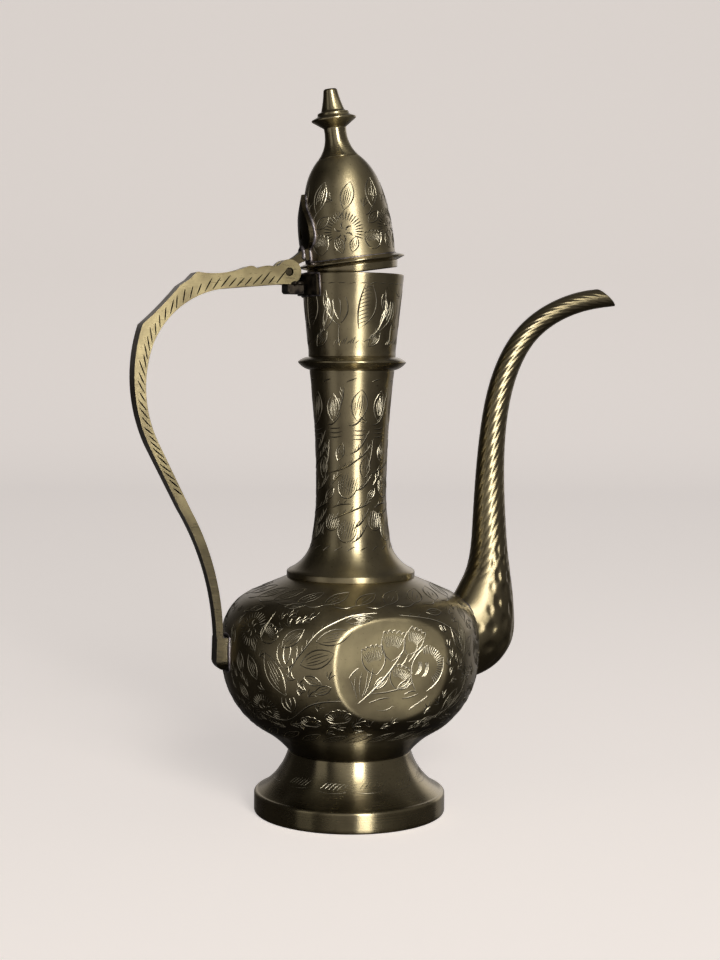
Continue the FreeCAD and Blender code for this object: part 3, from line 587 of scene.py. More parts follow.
def welded(mesh):
    """Merge points that coincide, such as those on the axis, and turn all faces outwards."""
    shape = bmesh.new()
    shape.from_mesh(mesh)
    bmesh.ops.remove_doubles(shape, verts=shape.verts, dist=MERGE)
    bmesh.ops.dissolve_degenerate(shape, dist=TINY, edges=shape.edges)
    bmesh.ops.recalc_face_normals(shape, faces=shape.faces)
    shape.to_mesh(mesh)
    shape.free()
    mesh.shade_smooth()


def turn_shell(name, outline, material, shape=None, closed=True, step=0.9, crowd=0.0):
    """A turned piece in metres from an outline in millimetres; shape may bend its points after turning.

    Its columns may crowd towards front and back, where a finer edge needs them.
    """
    corners = list(outline) + [outline[0][:2]] if closed else outline
    points = outline_points(corners, step)
    points = worn(points[:-1] if closed else points, ROUND, closed)
    angles = np.arange(SIDES) * 2 * math.pi / SIDES
    angles = angles + crowd * np.sin(2 * angles)
    places = np.empty((len(points), SIDES, 3))
    places[..., 0] = points[:, :1] * np.cos(angles)
    places[..., 1] = points[:, :1] * np.sin(angles)
    places[..., 2] = points[:, 1:]
    places = places.reshape(-1, 3)
    if shape:
        places = shape(places)
    mesh = bpy.data.meshes.new(name)
    mesh.from_pydata((places * MM).tolist(), [], grid_faces(len(points), SIDES, closed, True))
    keep_value(mesh, "along", np.repeat(run_of(points) * MM, SIDES))
    welded(mesh)
    print(name, len(mesh.polygons), "faces")
    return new_piece(name, mesh, material)


def stand_for(piece, node, body):
    """The piece rides on a body and stands for a node of the frame, whose solid it hides."""
    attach(piece, body)
    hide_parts(node)


print("a ring of a turned piece has", SIDES, "points")

# %% [markdown]
# ## Foot, bowl, neck, ring and cup
# Each outline goes up the outside and comes back down the inside, so the shell has its real wall. The
# bowl's two oval panels are pressed flat: a soft limit on the distance across does that and leaves a
# rounded ridge.

# %% Pot shells
PANEL = 41.4                         # distance of the flat panels from the axis
PANEL_SOFT = 0.12                    # softness of the ridge round a panel
PANEL_EDGE = 12 * PANEL_SOFT         # depth before a panel at which its softness begins to tell
WALL = 1.4

FOOT_SKIN = [(33.0, 7.7), (22.0, 22.0, 23.6, -1)]
FOOT = [(32.4, 0.0), (33.4, 0.0), (34.2, 0.8, 0.8, 1), (34.2, 6.9), (*FOOT_SKIN[0], 1.2, 1), FOOT_SKIN[1],
        (17.0, 22.0), (17.0, 20.4), (20.2, 20.4), (32.4, 6.6, 24.0, 1)]
BOWL_SKIN = [(22.0, 22.0), (31.3, 29.9, 34.1, -1), (45.7, 51.0, 29.4, 1), (45.7, 67.0, 53.6, 1),
             (34.6, 78.8, 17.2, 1), (23.0, 83.9)]
BOWL = [(0.0, 22.0)] + BOWL_SKIN + [
    (20.0, 83.9), (20.0, 82.5), (33.9, 77.4), (44.3, 67.0, 15.8, -1), (44.3, 51.0, 52.2, -1),
    (30.6, 31.3, 28.0, -1), (20.6, 23.4, 35.5, 1), (0.0, 23.4)]
NECK_SKIN = [(22.3, 86.6), (14.4, 95.5, 14.3, -1), (12.6, 114.5, 101.0, -1), (15.3, 158.0, 351.8, -1)]
NECK = [(23.0, 83.9), (23.0, 86.0)] + NECK_SKIN + [
    (14.0, 158.0), (11.3, 114.5, 353.1, 1), (13.1, 95.5, 102.3, 1), (20.0, 83.9, 15.6, 1)]
RING = [(14.1, 158.0), (15.3, 158.0), (19.2, 160.4, 7.0, 1), (19.2, 161.3, 0.5, 1), (16.2, 162.7, 7.0, 1),
        (14.1, 162.7)]
CUP_SKIN = [(15.7, 165.0), (18.6, 192.3)]
CUP = [(14.4, 162.7), (15.7, 162.7)] + CUP_SKIN + [(17.35, 192.3), (14.4, 165.0)]


def press(places, limit):
    """Limit the distance across softly, which presses the front and the back of the bowl flat."""
    reach = np.abs(places[..., 1])
    soft = limit - PANEL_SOFT * np.logaddexp(0.0, (limit - reach) / PANEL_SOFT)
    pressed = places.copy()
    pressed[..., 1] = np.sign(places[..., 1]) * np.where(reach > limit - PANEL_EDGE, soft, reach)
    return pressed


def press_bowl(places):
    """Press the outside to the panels, and the inside, which follows the mouth in the outline, deeper."""
    rows = places.reshape(-1, SIDES, 3)
    mouth = int(rows[:, 0, 2].argmax()) + 1
    return np.concatenate((press(rows[:mouth], PANEL), press(rows[mouth:], PANEL - WALL))).reshape(-1, 3)


stand_for(turn_shell("foot_shell", FOOT, TURNED), "foot", "pot")
bowl_shell = turn_shell("bowl_shell", BOWL, BOWL_BRASS, press_bowl, step=0.76, crowd=0.26)
stand_for(bowl_shell, "bowl", "pot")
stand_for(turn_shell("neck_shell", NECK, SHELL), "neck", "pot")
stand_for(turn_shell("neck_bead", RING, TURNED), "neck_ring", "pot")
stand_for(turn_shell("mouth_cup_shell", CUP, SHELL), "mouth_cup", "pot")

# %% [markdown]
# ## The lid
# The lid is turned on its own axis, in heights above the middle of its flange, and is then set on the mouth
# and tipped about the hinge pin. The tip at rest is the hinge's lower limit, because there the lid is shut.

# %% Lid shells
LID_PLANE = 193.6
hinge = frame["joints"][0]
AJAR = math.radians(-hinge["range_deg"][0])
PIN = np.array(hinge["pos_m"]) / MM

FLANGE = [(14.8, -1.3), (16.5, -1.3), (19.0, -0.3), (19.0, 0.3, 0.6, 1), (16.5, 1.2), (14.8, 1.2)]
PLUG = [(15.1, -4.0), (16.1, -4.0), (16.5, -1.3), (15.1, -1.3)]
DOME_SKIN = [(16.0, 1.2), (16.0, 8.0), (13.6, 26.6, 68.0, 1), (7.4, 37.5, 22.6, 1)]
DOME = [(14.8, 1.2)] + DOME_SKIN + [(2.2, 37.5), (2.2, 36.0), (6.3, 36.0), (12.4, 26.6, 21.4, -1),
                                    (14.8, 8.0, 66.8, -1)]
FINIAL = [(0.0, 35.0), (3.2, 35.0), (3.2, 36.0), (2.2, 36.0), (2.2, 37.5), (7.4, 37.5), (4.1, 44.5, 12.7, -1),
          (3.95, 46.4), (4.05, 48.2), (8.0, 51.0), (8.0, 51.6, 0.6, 1), (5.8, 52.6), (5.6, 53.7), (4.3, 54.2),
          (2.5, 61.7, 40.0, -1), (2.0, 62.2, 2.5, 1), (0.0, 62.2)]


def set_ajar(places):
    """Set points of the lid on the mouth and tip them about the hinge pin."""
    x = places[:, 0] - PIN[0]
    z = places[:, 2] + LID_PLANE - PIN[2]
    tipped = places.copy()
    tipped[:, 0] = PIN[0] + x * math.cos(AJAR) - z * math.sin(AJAR)
    tipped[:, 2] = PIN[2] + x * math.sin(AJAR) + z * math.cos(AJAR)
    return tipped


stand_for(turn_shell("lid_flange", FLANGE, TURNED, set_ajar), "lid_rim_ring", "lid")
stand_for(turn_shell("lid_plug_tube", PLUG, TURNED, set_ajar), "lid_plug", "lid")
stand_for(turn_shell("lid_dome_shell", DOME, LID_BRASS, set_ajar), "lid_dome", "lid")
stand_for(turn_shell("finial_knob", FINIAL, TURNED, set_ajar, closed=False), "finial", "lid")

# %% [markdown]
# ## The spout's line
# The spout is a tapering tube along a swan's neck. Its sections are read from a few stations and smoothed by
# a cubic. A curve object with a bevel would be quicker, but holds one shape of section, and these grow oval
# towards the root.

# %% Spout line
# Stations: X, Z, lean of the section in degrees, half depth, half width, in millimetres
SPOUT_STATIONS = np.array([
    (39.0, 59.5, 79.0, 15.7, 9.8), (47.3, 61.5, 62.6, 15.5, 9.8), (52.0, 66.2, 45.7, 14.8, 9.6),
    (53.8, 75.0, 26.0, 11.4, 8.7), (54.3, 83.0, 9.0, 8.6, 7.8), (54.5, 102.6, 0.0, 6.15, 6.1),
    (55.6, 133.2, 7.0, 4.85, 4.8), (62.2, 160.6, 24.0, 4.4, 4.35), (69.6, 171.8, 43.0, 4.15, 4.1),
    (81.0, 180.1, 62.0, 3.95, 3.9), (95.6, 185.0, 78.0, 3.75, 3.7), (109.0, 186.4, 87.0, 3.3, 3.25)])
SPOUT_STEP = 0.57


def smooth_through(values, knots, spots):
    """A natural cubic through values at knots, read at spots."""
    gaps = np.diff(knots)
    count = len(knots)
    system = np.eye(count)
    sides = np.zeros((count, values.shape[1]))
    for k in range(1, count - 1):
        system[k, k - 1:k + 2] = gaps[k - 1], 2 * (gaps[k - 1] + gaps[k]), gaps[k]
        sides[k] = 6 * ((values[k + 1] - values[k]) / gaps[k] - (values[k] - values[k - 1]) / gaps[k - 1])
    curves = np.linalg.solve(system, sides)
    part = np.clip(np.searchsorted(knots, spots) - 1, 0, count - 2)
    wide = gaps[part][:, None]
    ahead = (knots[part + 1] - spots)[:, None]
    behind = (spots - knots[part])[:, None]
    lines = values[part] * ahead / wide + values[part + 1] * behind / wide
    bends = curves[part] * (ahead ** 3 / wide - wide * ahead)
    bends += curves[part + 1] * (behind ** 3 / wide - wide * behind)
    return lines + bends / 6


def spout_sections():
    """Stations at even steps along the spout, and the distance of each from its root."""
    knots = run_of(SPOUT_STATIONS[:, :2])
    spots = np.arange(0.0, knots[-1], SPOUT_STEP)
    return smooth_through(SPOUT_STATIONS, knots, spots), spots


sections, spots = spout_sections()
print("spout:", len(spots), "sections over", round(float(spots[-1])), "mm")

# %% [markdown]
# ## The spout's skin
# The tube is filed with slanting flutes, as a rope is laid, and staggered hammer dents cover the outer half
# of the bulb at its root. Both are moved points and no picture, so they catch the light as the real ones
# do. The tip is sawn off aslant.

# %% Spout skin
SPOUT_WALL = 1.0
SPOUT_ROUND = 144
SPOUT_HALFWAY = 80 * MM              # a place between root and tip
FLUTE_PITCH = 4.2                    # millimetres along the spout from flute to flute
FLUTE_STARTS = 16
FLUTE_DEPTH = 0.13
FLUTE_SHARP = 1.6
FLUTE_FROM = 24.0                    # length from the root at which the flutes begin
FLUTE_FADE = 12.0                    # and over which they grow to their depth
BULB_RADIUS = 11.0
DENT_APART = (3.3, 4.6)              # millimetres across and along from dent to dent on the bulb
DENT_DEPTH = 0.42
DENT_FROM = (5.0, 9.0)               # lengths from the root between which the dents begin
DENT_TO = (38.0, 46.0)               # and between which they end
DENT_SIDES = (10, 30, 95, 110)       # degrees from the outer edge between which they come and go
LIP_TOP = (99.1, 188.95)
LIP_LOW = (106.4, 182.6)


def dents(angles, spots):
    """Depth of the staggered hammer dents on the outer half of the bulb."""
    turns = np.minimum(angles, 2 * math.pi - angles)
    across = np.cos(math.pi * BULB_RADIUS * turns / DENT_APART[0])
    along = np.cos(math.pi * spots / DENT_APART[1])
    rows = np.interp(spots, DENT_FROM + DENT_TO, (0.0, 1.0, 1.0, 0.0))
    columns = np.interp(turns, np.radians(DENT_SIDES), (0.0, 1.0, 1.0, 0.0))
    return DENT_DEPTH * np.clip(along[:, None] * across, 0.0, 1.0) * rows[:, None] * columns


def spout_tube(sections, spots, wall, fluted):
    """Points of the tube, ring by ring, as far inside the skin as wall says."""
    angles = np.arange(SPOUT_ROUND) * 2 * math.pi / SPOUT_ROUND
    phase = spots[:, None] / FLUTE_PITCH - FLUTE_STARTS * angles / (2 * math.pi)
    fade = np.clip((spots[:, None] - FLUTE_FROM) / FLUTE_FADE, 0.0, 1.0)
    crease = (1 - np.abs(np.sin(math.pi * phase))) ** FLUTE_SHARP
    inset = wall + (FLUTE_DEPTH * fade * crease + dents(angles, spots) if fluted else 0.0)
    deep = (sections[:, 3:4] - inset) * np.cos(angles)
    wide = (sections[:, 4:5] - inset) * np.sin(angles)
    lean = np.radians(sections[:, 2:3])
    x = sections[:, :1] + deep * np.cos(lean)
    z = sections[:, 1:2] - deep * np.sin(lean)
    return np.stack((x, wide, z), axis=-1)


def close_spout(mesh):
    """Saw the tip off aslant and join the skin to the bore at both ends."""
    shape = bmesh.new()
    shape.from_mesh(mesh)
    along = Vector((LIP_TOP[1] - LIP_LOW[1], 0.0, LIP_LOW[0] - LIP_TOP[0]))
    bmesh.ops.bisect_plane(shape, geom=shape.verts[:] + shape.edges[:] + shape.faces[:], dist=TINY,
                           plane_co=Vector((LIP_TOP[0], 0.0, LIP_TOP[1])) * MM, plane_no=along,
                           clear_outer=True)
    rims = [edge for edge in shape.edges if edge.is_boundary]
    for end in (True, False):
        loop = [edge for edge in rims if (edge.verts[0].co.x > SPOUT_HALFWAY) == end]
        bmesh.ops.bridge_loops(shape, edges=loop)
    shape.to_mesh(mesh)
    shape.free()


def make_spout():
    """The fluted skin and the plain bore of the spout as one shell."""
    skin = spout_tube(sections, spots, 0.0, True)
    bore = spout_tube(sections, spots, SPOUT_WALL, False)
    places = np.concatenate((skin.reshape(-1, 3), bore.reshape(-1, 3)))
    faces = grid_faces(len(spots), SPOUT_ROUND, False, True)
    start = len(spots) * SPOUT_ROUND
    faces += [tuple(corner + start for corner in face) for face in faces]
    mesh = bpy.data.meshes.new("spout_shell")
    mesh.from_pydata((places * MM).tolist(), [], faces)
    keep_value(mesh, "along", np.tile(np.repeat(spots * MM, SPOUT_ROUND), 2))
    close_spout(mesh)
    welded(mesh)
    print("spout_shell", len(mesh.polygons), "faces")
    return new_piece("spout_shell", mesh, SHELL)


stand_for(make_spout(), "spout", "pot")

# %% [markdown]
# ## Castings
# Handle, hinge leaf, saddle and pin are castings with flat sides and filed edges. Their solids are right,
# so a copy of each is joined up, its flat faces are made whole, and a bevel breaks the edges. Weighted
# normals keep the flat faces flat in the light beside the bevel.

# %% Castings
CAST_MERGE = 2e-6                    # metres
FLAT = math.radians(0.6)             # faces that meet at less are one
CORNER = math.radians(35)            # edges that bend more are broken


def baked(piece):
    """Keep what the modifiers make of a piece as a plain mesh and drop them."""
    made = bpy.data.meshes.new_from_object(piece.evaluated_get(bpy.context.evaluated_depsgraph_get()))
    piece.modifiers.clear()
    piece.data = made
    made.name = piece.name
    return made


def dressed_copy(node, name, material, edge):
    """A copy of a frame node with whole flat faces and softened edges."""
    mesh = frame["nodes"][node].data.copy()
    mesh.name = name
    shape = bmesh.new()
    shape.from_mesh(mesh)
    bmesh.ops.remove_doubles(shape, verts=shape.verts, dist=CAST_MERGE)
    bmesh.ops.dissolve_limit(shape, angle_limit=FLAT, verts=shape.verts, edges=shape.edges)
    shape.to_mesh(mesh)
    shape.free()
    piece = new_piece(name, mesh, material)
    bevel = piece.modifiers.new("worn edges", "BEVEL")
    bevel.width = edge * MM
    bevel.segments = 3
    bevel.limit_method = "ANGLE"
    bevel.angle_limit = CORNER
    weight = piece.modifiers.new("flat faces", "WEIGHTED_NORMAL")
    weight.weight = 100
    for face in mesh.polygons:
        face.use_smooth = True
    made = baked(piece)
    print(name, len(made.polygons), "faces")
    return piece


for node, name, material, edge, body, slot in (
        ("handle", "handle_bar", CAST, 0.55, "pot", "cast_brass"),
        # saddle, pin and leaf take dark finishes, painted shade at the hinge
        ("hinge_saddle", "hinge_saddle_plate", BLACK_SOLDER, 0.5, "pot", "cast_brass"),
        ("hinge_pin", "hinge_pin_rod", DARK_CAST, 0.1, "pot", "pin_brass"),
        ("hinge_leaf", "hinge_leaf_plate", DARK_CAST, 0.3, "lid", "cast_brass")):
    stand_for(dressed_copy(node, name, material, edge), node, body)

# %% [markdown]
# ## The furrow
# A graver pushed through brass lifts two small lips beside a furrow. One geometry nodes tree carries the
# furrow's section along all the lines of a piece. It stores the place across the furrow too, from which the
# material paints a highlight on one flank and shade on the other. Two helpers hold what this tree shares
# with the one for solder.

# %% Furrow nodes
SECTION_POINTS = 5                   # lip, flank, floor, flank and lip, from -1 to 1 across


def line_tree(name, *sizes):
    """A node tree that takes lines, sizes and a finish and gives a mesh."""
    tree = bpy.data.node_groups.new(name, "GeometryNodeTree")
    sockets = [("Lines", "INPUT", "Geometry"), ("Finish", "INPUT", "Material")]
    sockets += [(size, "INPUT", "Float") for size in sizes]
    sockets.append(("Mesh", "OUTPUT", "Geometry"))
    for label, way, kind in sockets:
        tree.interface.new_socket(label, in_out=way, socket_type="NodeSocket" + kind)
    return tree


def end_tree(tree, lines, section, finish):
    """Carry a section along lines, as wide as each point says, and give the mesh its finish."""
    half = add(tree, "GeometryNodeInputNamedAttribute", {"Name": "half"}, data_type="FLOAT")
    swept = add(tree, "GeometryNodeCurveToMesh", {"Curve": lines, "Profile Curve": section, "Scale": half})
    real = add(tree, "GeometryNodeRealizeInstances", {"Geometry": swept})
    done = add(tree, "GeometryNodeSetMaterial", {"Geometry": real, "Material": finish})
    add(tree, "NodeGroupOutput", {"Mesh": done})


def furrow_tree():
    """Nodes that turn lines with a normal and a half width into furrows with two lips."""
    tree = line_tree("graver furrows", "Burr")
    given = add(tree, "NodeGroupInput").outputs
    way = add(tree, "GeometryNodeInputNamedAttribute", {"Name": "way"}, data_type="FLOAT_VECTOR")
    lines = add(tree, "GeometryNodeMeshToCurve", {"Mesh": given["Lines"]})
    lines = add(tree, "GeometryNodeSetCurveNormal", {"Curve": lines, "Normal": way}, mode="FREE")
    section = add(tree, "GeometryNodeMeshLine", {
        "Count": SECTION_POINTS, "Start Location": (0.0, -1.0, 0.0),
        "Offset": (0.0, 2 / (SECTION_POINTS - 1), 0.0)})
    place = add(tree, "GeometryNodeInputPosition")
    across = add(tree, "ShaderNodeSeparateXYZ", {"Vector": place}).outputs["Y"]
    section = add(tree, "GeometryNodeStoreNamedAttribute", {
        "Geometry": section, "Name": "across", "Value": across})
    rise = add(tree, "ShaderNodeMath", {0: across, 1: 0.5}, operation="PINGPONG")
    lip = add(tree, "ShaderNodeMath", {0: rise, 1: given["Burr"]}, operation="MULTIPLY")
    offset = add(tree, "ShaderNodeCombineXYZ", {"X": lip})
    section = add(tree, "GeometryNodeSetPosition", {"Geometry": section, "Offset": offset})
    section = add(tree, "GeometryNodeMeshToCurve", {"Mesh": section})
    end_tree(tree, lines, section, given["Finish"])
    return tree


FURROWS = furrow_tree()
print(FURROWS.name, "has", len(FURROWS.nodes), "nodes")

# %% [markdown]
# ## Cutting strokes
# Each stroke is a line of points that lies on a skin and knows the skin's normal and its own half width,
# narrow at both ends. A place function sets flat marks on the skin, and two marks a nudge away show how the
# skin lies there. One random generator stands for the engraver's hand, so the same slips come out every
# time.

# %% Helpers for engraving
BURR = 0.38                          # height of a furrow's lips as a share of its half width
LIFT = 0.012                         # millimetres that keep a furrow's floor clear of the skin
FINE = 0.16                          # half widths of strokes, in millimetres
PLAIN = 0.24
BOLD = 0.32
NUDGE = 0.03
END_WIDTH = 0.25                     # share of its width that a stroke keeps at its ends
END_BLUNT = 0.6                      # the lower, the blunter its taper
hand = np.random.default_rng(11)


def apply_nodes(piece, tree, **values):
    """Run a node tree on a piece and keep the result as a plain mesh."""
    modifier = piece.modifiers.new(tree.name, "NODES")
    modifier.node_group = tree
    for item in tree.interface.items_tree:
        if item.in_out == "INPUT" and item.name in values:
            modifier[item.identifier] = values[item.name]
    return baked(piece)


def line_piece(name, places, edges, halves, finish):
    """A piece of bare lines, in metres, with a half width on each point."""
    mesh = bpy.data.meshes.new(name)
    mesh.from_pydata((np.concatenate(places) * MM).tolist(), edges, [])
    keep_value(mesh, "half", np.concatenate(halves) * MM)
    return new_piece(name, mesh, finish)


def engrave(name, cuts, body, finish=CUT, burr=BURR):
    """Cut strokes into a skin: each cut is a place function, its marks in millimetres and its half width."""
    places, ways, halves, edges = [], [], [], []
    for place, marks, half in cuts:
        spots = place(marks)
        across = place(marks + (NUDGE, 0.0)) - spots
        along = place(marks + (0.0, NUDGE)) - spots
        way = np.cross(across, along)
        way /= np.linalg.norm(way, axis=1)[:, None]
        share = np.clip(np.linspace(0.0, 1.0, len(marks)), 0.02, 0.98)
        start = sum(len(group) for group in places)
        edges += [(start + k, start + k + 1) for k in range(len(marks) - 1)]
        places.append(spots + way * LIFT)
        ways.append(way)
        halves.append(half * (END_WIDTH + (1 - END_WIDTH) * np.sin(math.pi * share) ** END_BLUNT))
    piece = line_piece(name, places, edges, halves, finish)
    normals = piece.data.attributes.new("way", "FLOAT_VECTOR", "POINT")
    normals.data.foreach_set("vector", np.concatenate(ways).astype(np.float32).ravel())
    made = apply_nodes(piece, FURROWS, Burr=2 * burr, Finish=finish)
    normals = np.empty(len(made.vertices) * 3, np.float32)
    made.attributes["way"].data.foreach_get("vector", normals)
    normals = normals.reshape(-1, 3)
    facing = sum(face.normal.dot(Vector(normals[face.vertices[0]])) for face in made.polygons)
    if facing < 0:
        made.flip_normals()
    made.shade_flat()
    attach(piece, body)
    count = len(made.polygons)
    print(name, len(cuts), "strokes", count, "faces, facing", round(facing / count, 2))


print("strokes are", [2 * half for half in (FINE, PLAIN, BOLD)], "mm wide")

# %% [markdown]
# ## Motifs
# The engraver repeats a few signs: a pointed hatched leaf, a fan flower, a daisy, a tulip, a leaf with
# rungs, a hatched cup, plain dashes and grass. Each is a list of strokes in millimetres that grows upwards
# from its own origin.

# %% Motifs


def bow(start, end, bulge=0.0, count=8):
    """A shallow stroke from start to end that bulges to its left by so many millimetres."""
    start, end = np.array(start, float), np.array(end, float)
    share = np.linspace(0.0, 1.0, count)[:, None]
    side = np.array((start[1] - end[1], end[0] - start[0])) / math.dist(start, end)
    return start + (end - start) * share + side * bulge * 4 * share * (1 - share)


def headings(first, last, count, closed=False):
    """Ways at even turns, in degrees to the right of upwards."""
    turns = np.radians(np.linspace(first, last, count, endpoint=not closed))
    return np.stack((np.sin(turns), np.cos(turns)), axis=-1)


def leaf(length, width, hatch):
    """A pointed leaf: two bowed edges and a few loose strokes between them."""
    strokes = [(bow((0, 0), (0, length), side * width / 2), PLAIN) for side in (-1, 1)]
    veins = max(2, round(hatch * 0.6))
    for k in range(veins):
        lean = 1.3 * (k + 0.5) / veins - 0.65
        first, last = 0.16 + 0.25 * hand.random(), 0.86 - 0.3 * hand.random()
        share = np.linspace(first, last, 7)
        strokes.append((np.stack((lean * width * 2 * share * (1 - share), length * share), axis=-1), FINE))
    return strokes


def fan(radius, rays, spread=62):
    """A fan flower: rays from a base, two bowed sides and a scalloped rim."""
    strokes = []
    ways = headings(-spread, spread, rays)
    strokes += [(bow(way * radius * 0.52, way * radius * 0.94), FINE) for way in ways]
    for side, way in ((1, ways[0]), (-1, ways[-1])):
        strokes.append((bow((0, 0), way * radius, side * radius * 0.2), PLAIN))
    for first, last in zip(ways[:-1:2], ways[2::2]):
        strokes.append((bow(first * radius, last * radius, radius * 0.12, 5), PLAIN))
    return strokes


def daisy(radius, rays, part=360):
    """A daisy: ticks round part of a circle and a few petals inside."""
    strokes = []
    for way in headings(-part / 2, part / 2, rays, part == 360):
        strokes.append((bow(way * radius * 0.58, way * radius, 0.0, 5), PLAIN))
    for way in headings(0, 360, 6, True):
        strokes.append((bow(way * radius * 0.14, way * radius * 0.48, radius * 0.08, 5), BOLD))
    return strokes


def tulip(height, width):
    """A cup of three petals on a short stem."""
    strokes = [(bow((0, 0), (side * width / 2, height), -side * width * 0.28), PLAIN) for side in (-1, 1)]
    strokes += [(bow((0, height * 0.2), (side * width * 0.16, height * 0.95), -side * width * 0.1), PLAIN)
                for side in (-1, 1)]
    return strokes


def ladder(height, width, rungs):
    """A comma-shaped leaf with rungs."""
    share = np.linspace(0.0, 1.0, 12)
    spine = np.stack((width * (0.9 * share ** 2 - 0.5 * share), height * share), axis=-1)
    strokes = [(spine, BOLD)]
    for k in range(rungs):
        share = 0.1 + 0.8 * k / (rungs - 1)
        start = np.array((width * (0.9 * share ** 2 - 0.5 * share), height * share))
        strokes.append((bow(start, start + (width * 0.75, width * 0.28), 0.2, 5), FINE))
    strokes.append((bow((0, 0), (width * 0.95, height), -width * 0.7), PLAIN))
    return strokes


def cup(height, width, hatch):
    """A round-bottomed cup with upright hatching."""
    turns = np.linspace(-1.9, 1.9, 14)
    strokes = [(np.stack((np.sin(turns) * width, (1 - np.cos(turns)) * height), axis=-1) / 2, PLAIN)]
    for share in np.linspace(-0.75, 0.75, hatch):
        low = height * (0.62 - 0.5 * math.sqrt(1 - share ** 2))
        top = height * (0.75 + 0.25 * hand.random())
        side = share * width / 2
        strokes.append((bow((side, low), (side + 0.08 * width, top), 0.1, 6), FINE))
    return strokes


def dashes(count, width, gap):
    """Level strokes one above the other, each a little bowed."""
    return [(bow((-width / 2, gap * k), (width / 2, gap * k + 0.5), -0.3), PLAIN) for k in range(count)]


def grass(count, height, gap):
    """A row of short blades."""
    tops = [height * (0.7 + 0.3 * math.sin(k * 2.1)) for k in range(count)]
    return [(bow((gap * k, 0), (gap * k + 0.5 * height, top), 0.1, 5), FINE) for k, top in enumerate(tops)]


print("a fan of nine rays has", len(fan(5.0, 9)), "strokes")

# %% [markdown]
# ## Placing the ornament
# Marks on a turned skin are placed by an angle to the right of the eye and a height. A sign's own
# millimetres run round the skin and up along its outline, so it keeps its size wherever it sits. The
# engraver never sets a sign quite upright or in size, and neither does the helper.

# %% Places
Skin = namedtuple("Skin", "points lengths shape")
TURN_SLIP = 2.5                      # degrees by which the hand misses a sign's turn
SIZE_SLIP = 0.04                     # and the share by which it misses its size
TICK_LEAN = math.radians(35)


def skin_of(outline, shape=None):
    """The points of a skin's outline with their lengths along it, and the function that bends its places."""
    points = outline_points(outline, 0.4)
    return Skin(points, run_of(points), shape)


def radius_at(skin, heights):
    """Radius of a skin at some heights."""
    return np.interp(heights, skin.points[:, 1], skin.points[:, 0])


def length_at(skin, heights):
    """Length along a skin's outline at some heights."""
    return np.interp(heights, skin.points[:, 1], skin.lengths)


def radius_along(skin, along):
    """Radius of a skin at some lengths along its outline."""
    return np.interp(along, skin.lengths, skin.points[:, 0])


def spots_on(skin, angles, along):
    """Places on a skin for angles in degrees and lengths along its outline."""
    radius = radius_along(skin, along)
    east, north = plan(angles)
    heights = np.interp(along, skin.lengths, skin.points[:, 1])
    places = np.stack((radius * east, radius * north, heights), axis=-1)
    return skin.shape(places) if skin.shape else places


def spin(angle):
    """The matrix that turns rows of marks to the left."""
    return np.array(((math.cos(angle), math.sin(angle)), (-math.sin(angle), math.cos(angle))))


def sign(skin, angle, height, strokes, turn=0.0):
    """The cuts of one sign, turned to the left by degrees, with its origin at an angle and a height."""
    start = length_at(skin, height)
    lean = math.radians(turn + hand.normal(0.0, TURN_SLIP))
    grown = 1 + hand.normal(0.0, SIZE_SLIP)

    def place(marks):
        along = start + marks[:, 1]
        return spots_on(skin, angle + np.degrees(marks[:, 0] / radius_along(skin, along)), along)

    return [(place, marks @ (grown * spin(lean)), half) for marks, half in strokes]


def vine(skin, corners, half, ticks=0, tick=0.0):
    """A long bowed stem through corners of angle and height, with ticks on its left."""
    corners = np.array(corners, float)
    corners[:, 1] = length_at(skin, corners[:, 1])
    knots = np.arange(len(corners), dtype=float)
    path = smooth_through(corners, knots, np.linspace(0.0, knots[-1], 8 * len(corners)))

    def place(marks):
        return spots_on(skin, marks[:, 0], marks[:, 1])

    cuts = [(place, path, half)]
    for k in range(ticks):
        spot = int((k + 1) / (ticks + 1) * (len(path) - 2))
        radius = radius_along(skin, path[spot, 1])
        step = (path[spot + 1] - path[spot]) * (math.radians(radius), 1.0)
        way = math.atan2(step[1], step[0]) + TICK_LEAN
        reach = np.array((math.degrees(math.cos(way) * tick / radius), math.sin(way) * tick))
        cuts.append((place, path[spot] + reach * np.linspace(0.0, 1.0, 5)[:, None], FINE))
    return cuts


print("a skin of", round(skin_of(NECK_SKIN).lengths[-1], 1), "mm runs up the neck")

# %% [markdown]
# ## Repeats and fillings
# A band of ornament is one sector repeated round the axis. The engraver fills what stays bare with sprigs.
# Random spots are tried here, and a spot takes a sprig only where no stroke is near.

# %% Repeats and fillings


def ornament(skin, repeats, signs, vines=(), half=PLAIN, tick=0.0, keep=None):
    """Signs and stems, repeated round a skin; keep may tell which signs have room."""
    cuts = []
    for repeat in range(repeats):
        turn = 360.0 * repeat / repeats
        for angle, height, strokes, lean in signs:
            if keep is None or keep(angle + turn, height):
                cuts += sign(skin, angle + turn, height, strokes, lean)
        for corners, ticks in vines:
            cuts += vine(skin, [(angle + turn, height) for angle, height in corners], half, ticks, tick)
    return cuts


def sprig(size):
    """Three short strokes from one root."""
    ends = ((0.0, size), (-0.5 * size, 0.75 * size), (0.5 * size, 0.7 * size))
    return [(bow((0, 0), end, 0.12 * size, 5), half) for end, half in zip(ends, (PLAIN, FINE, FINE))]


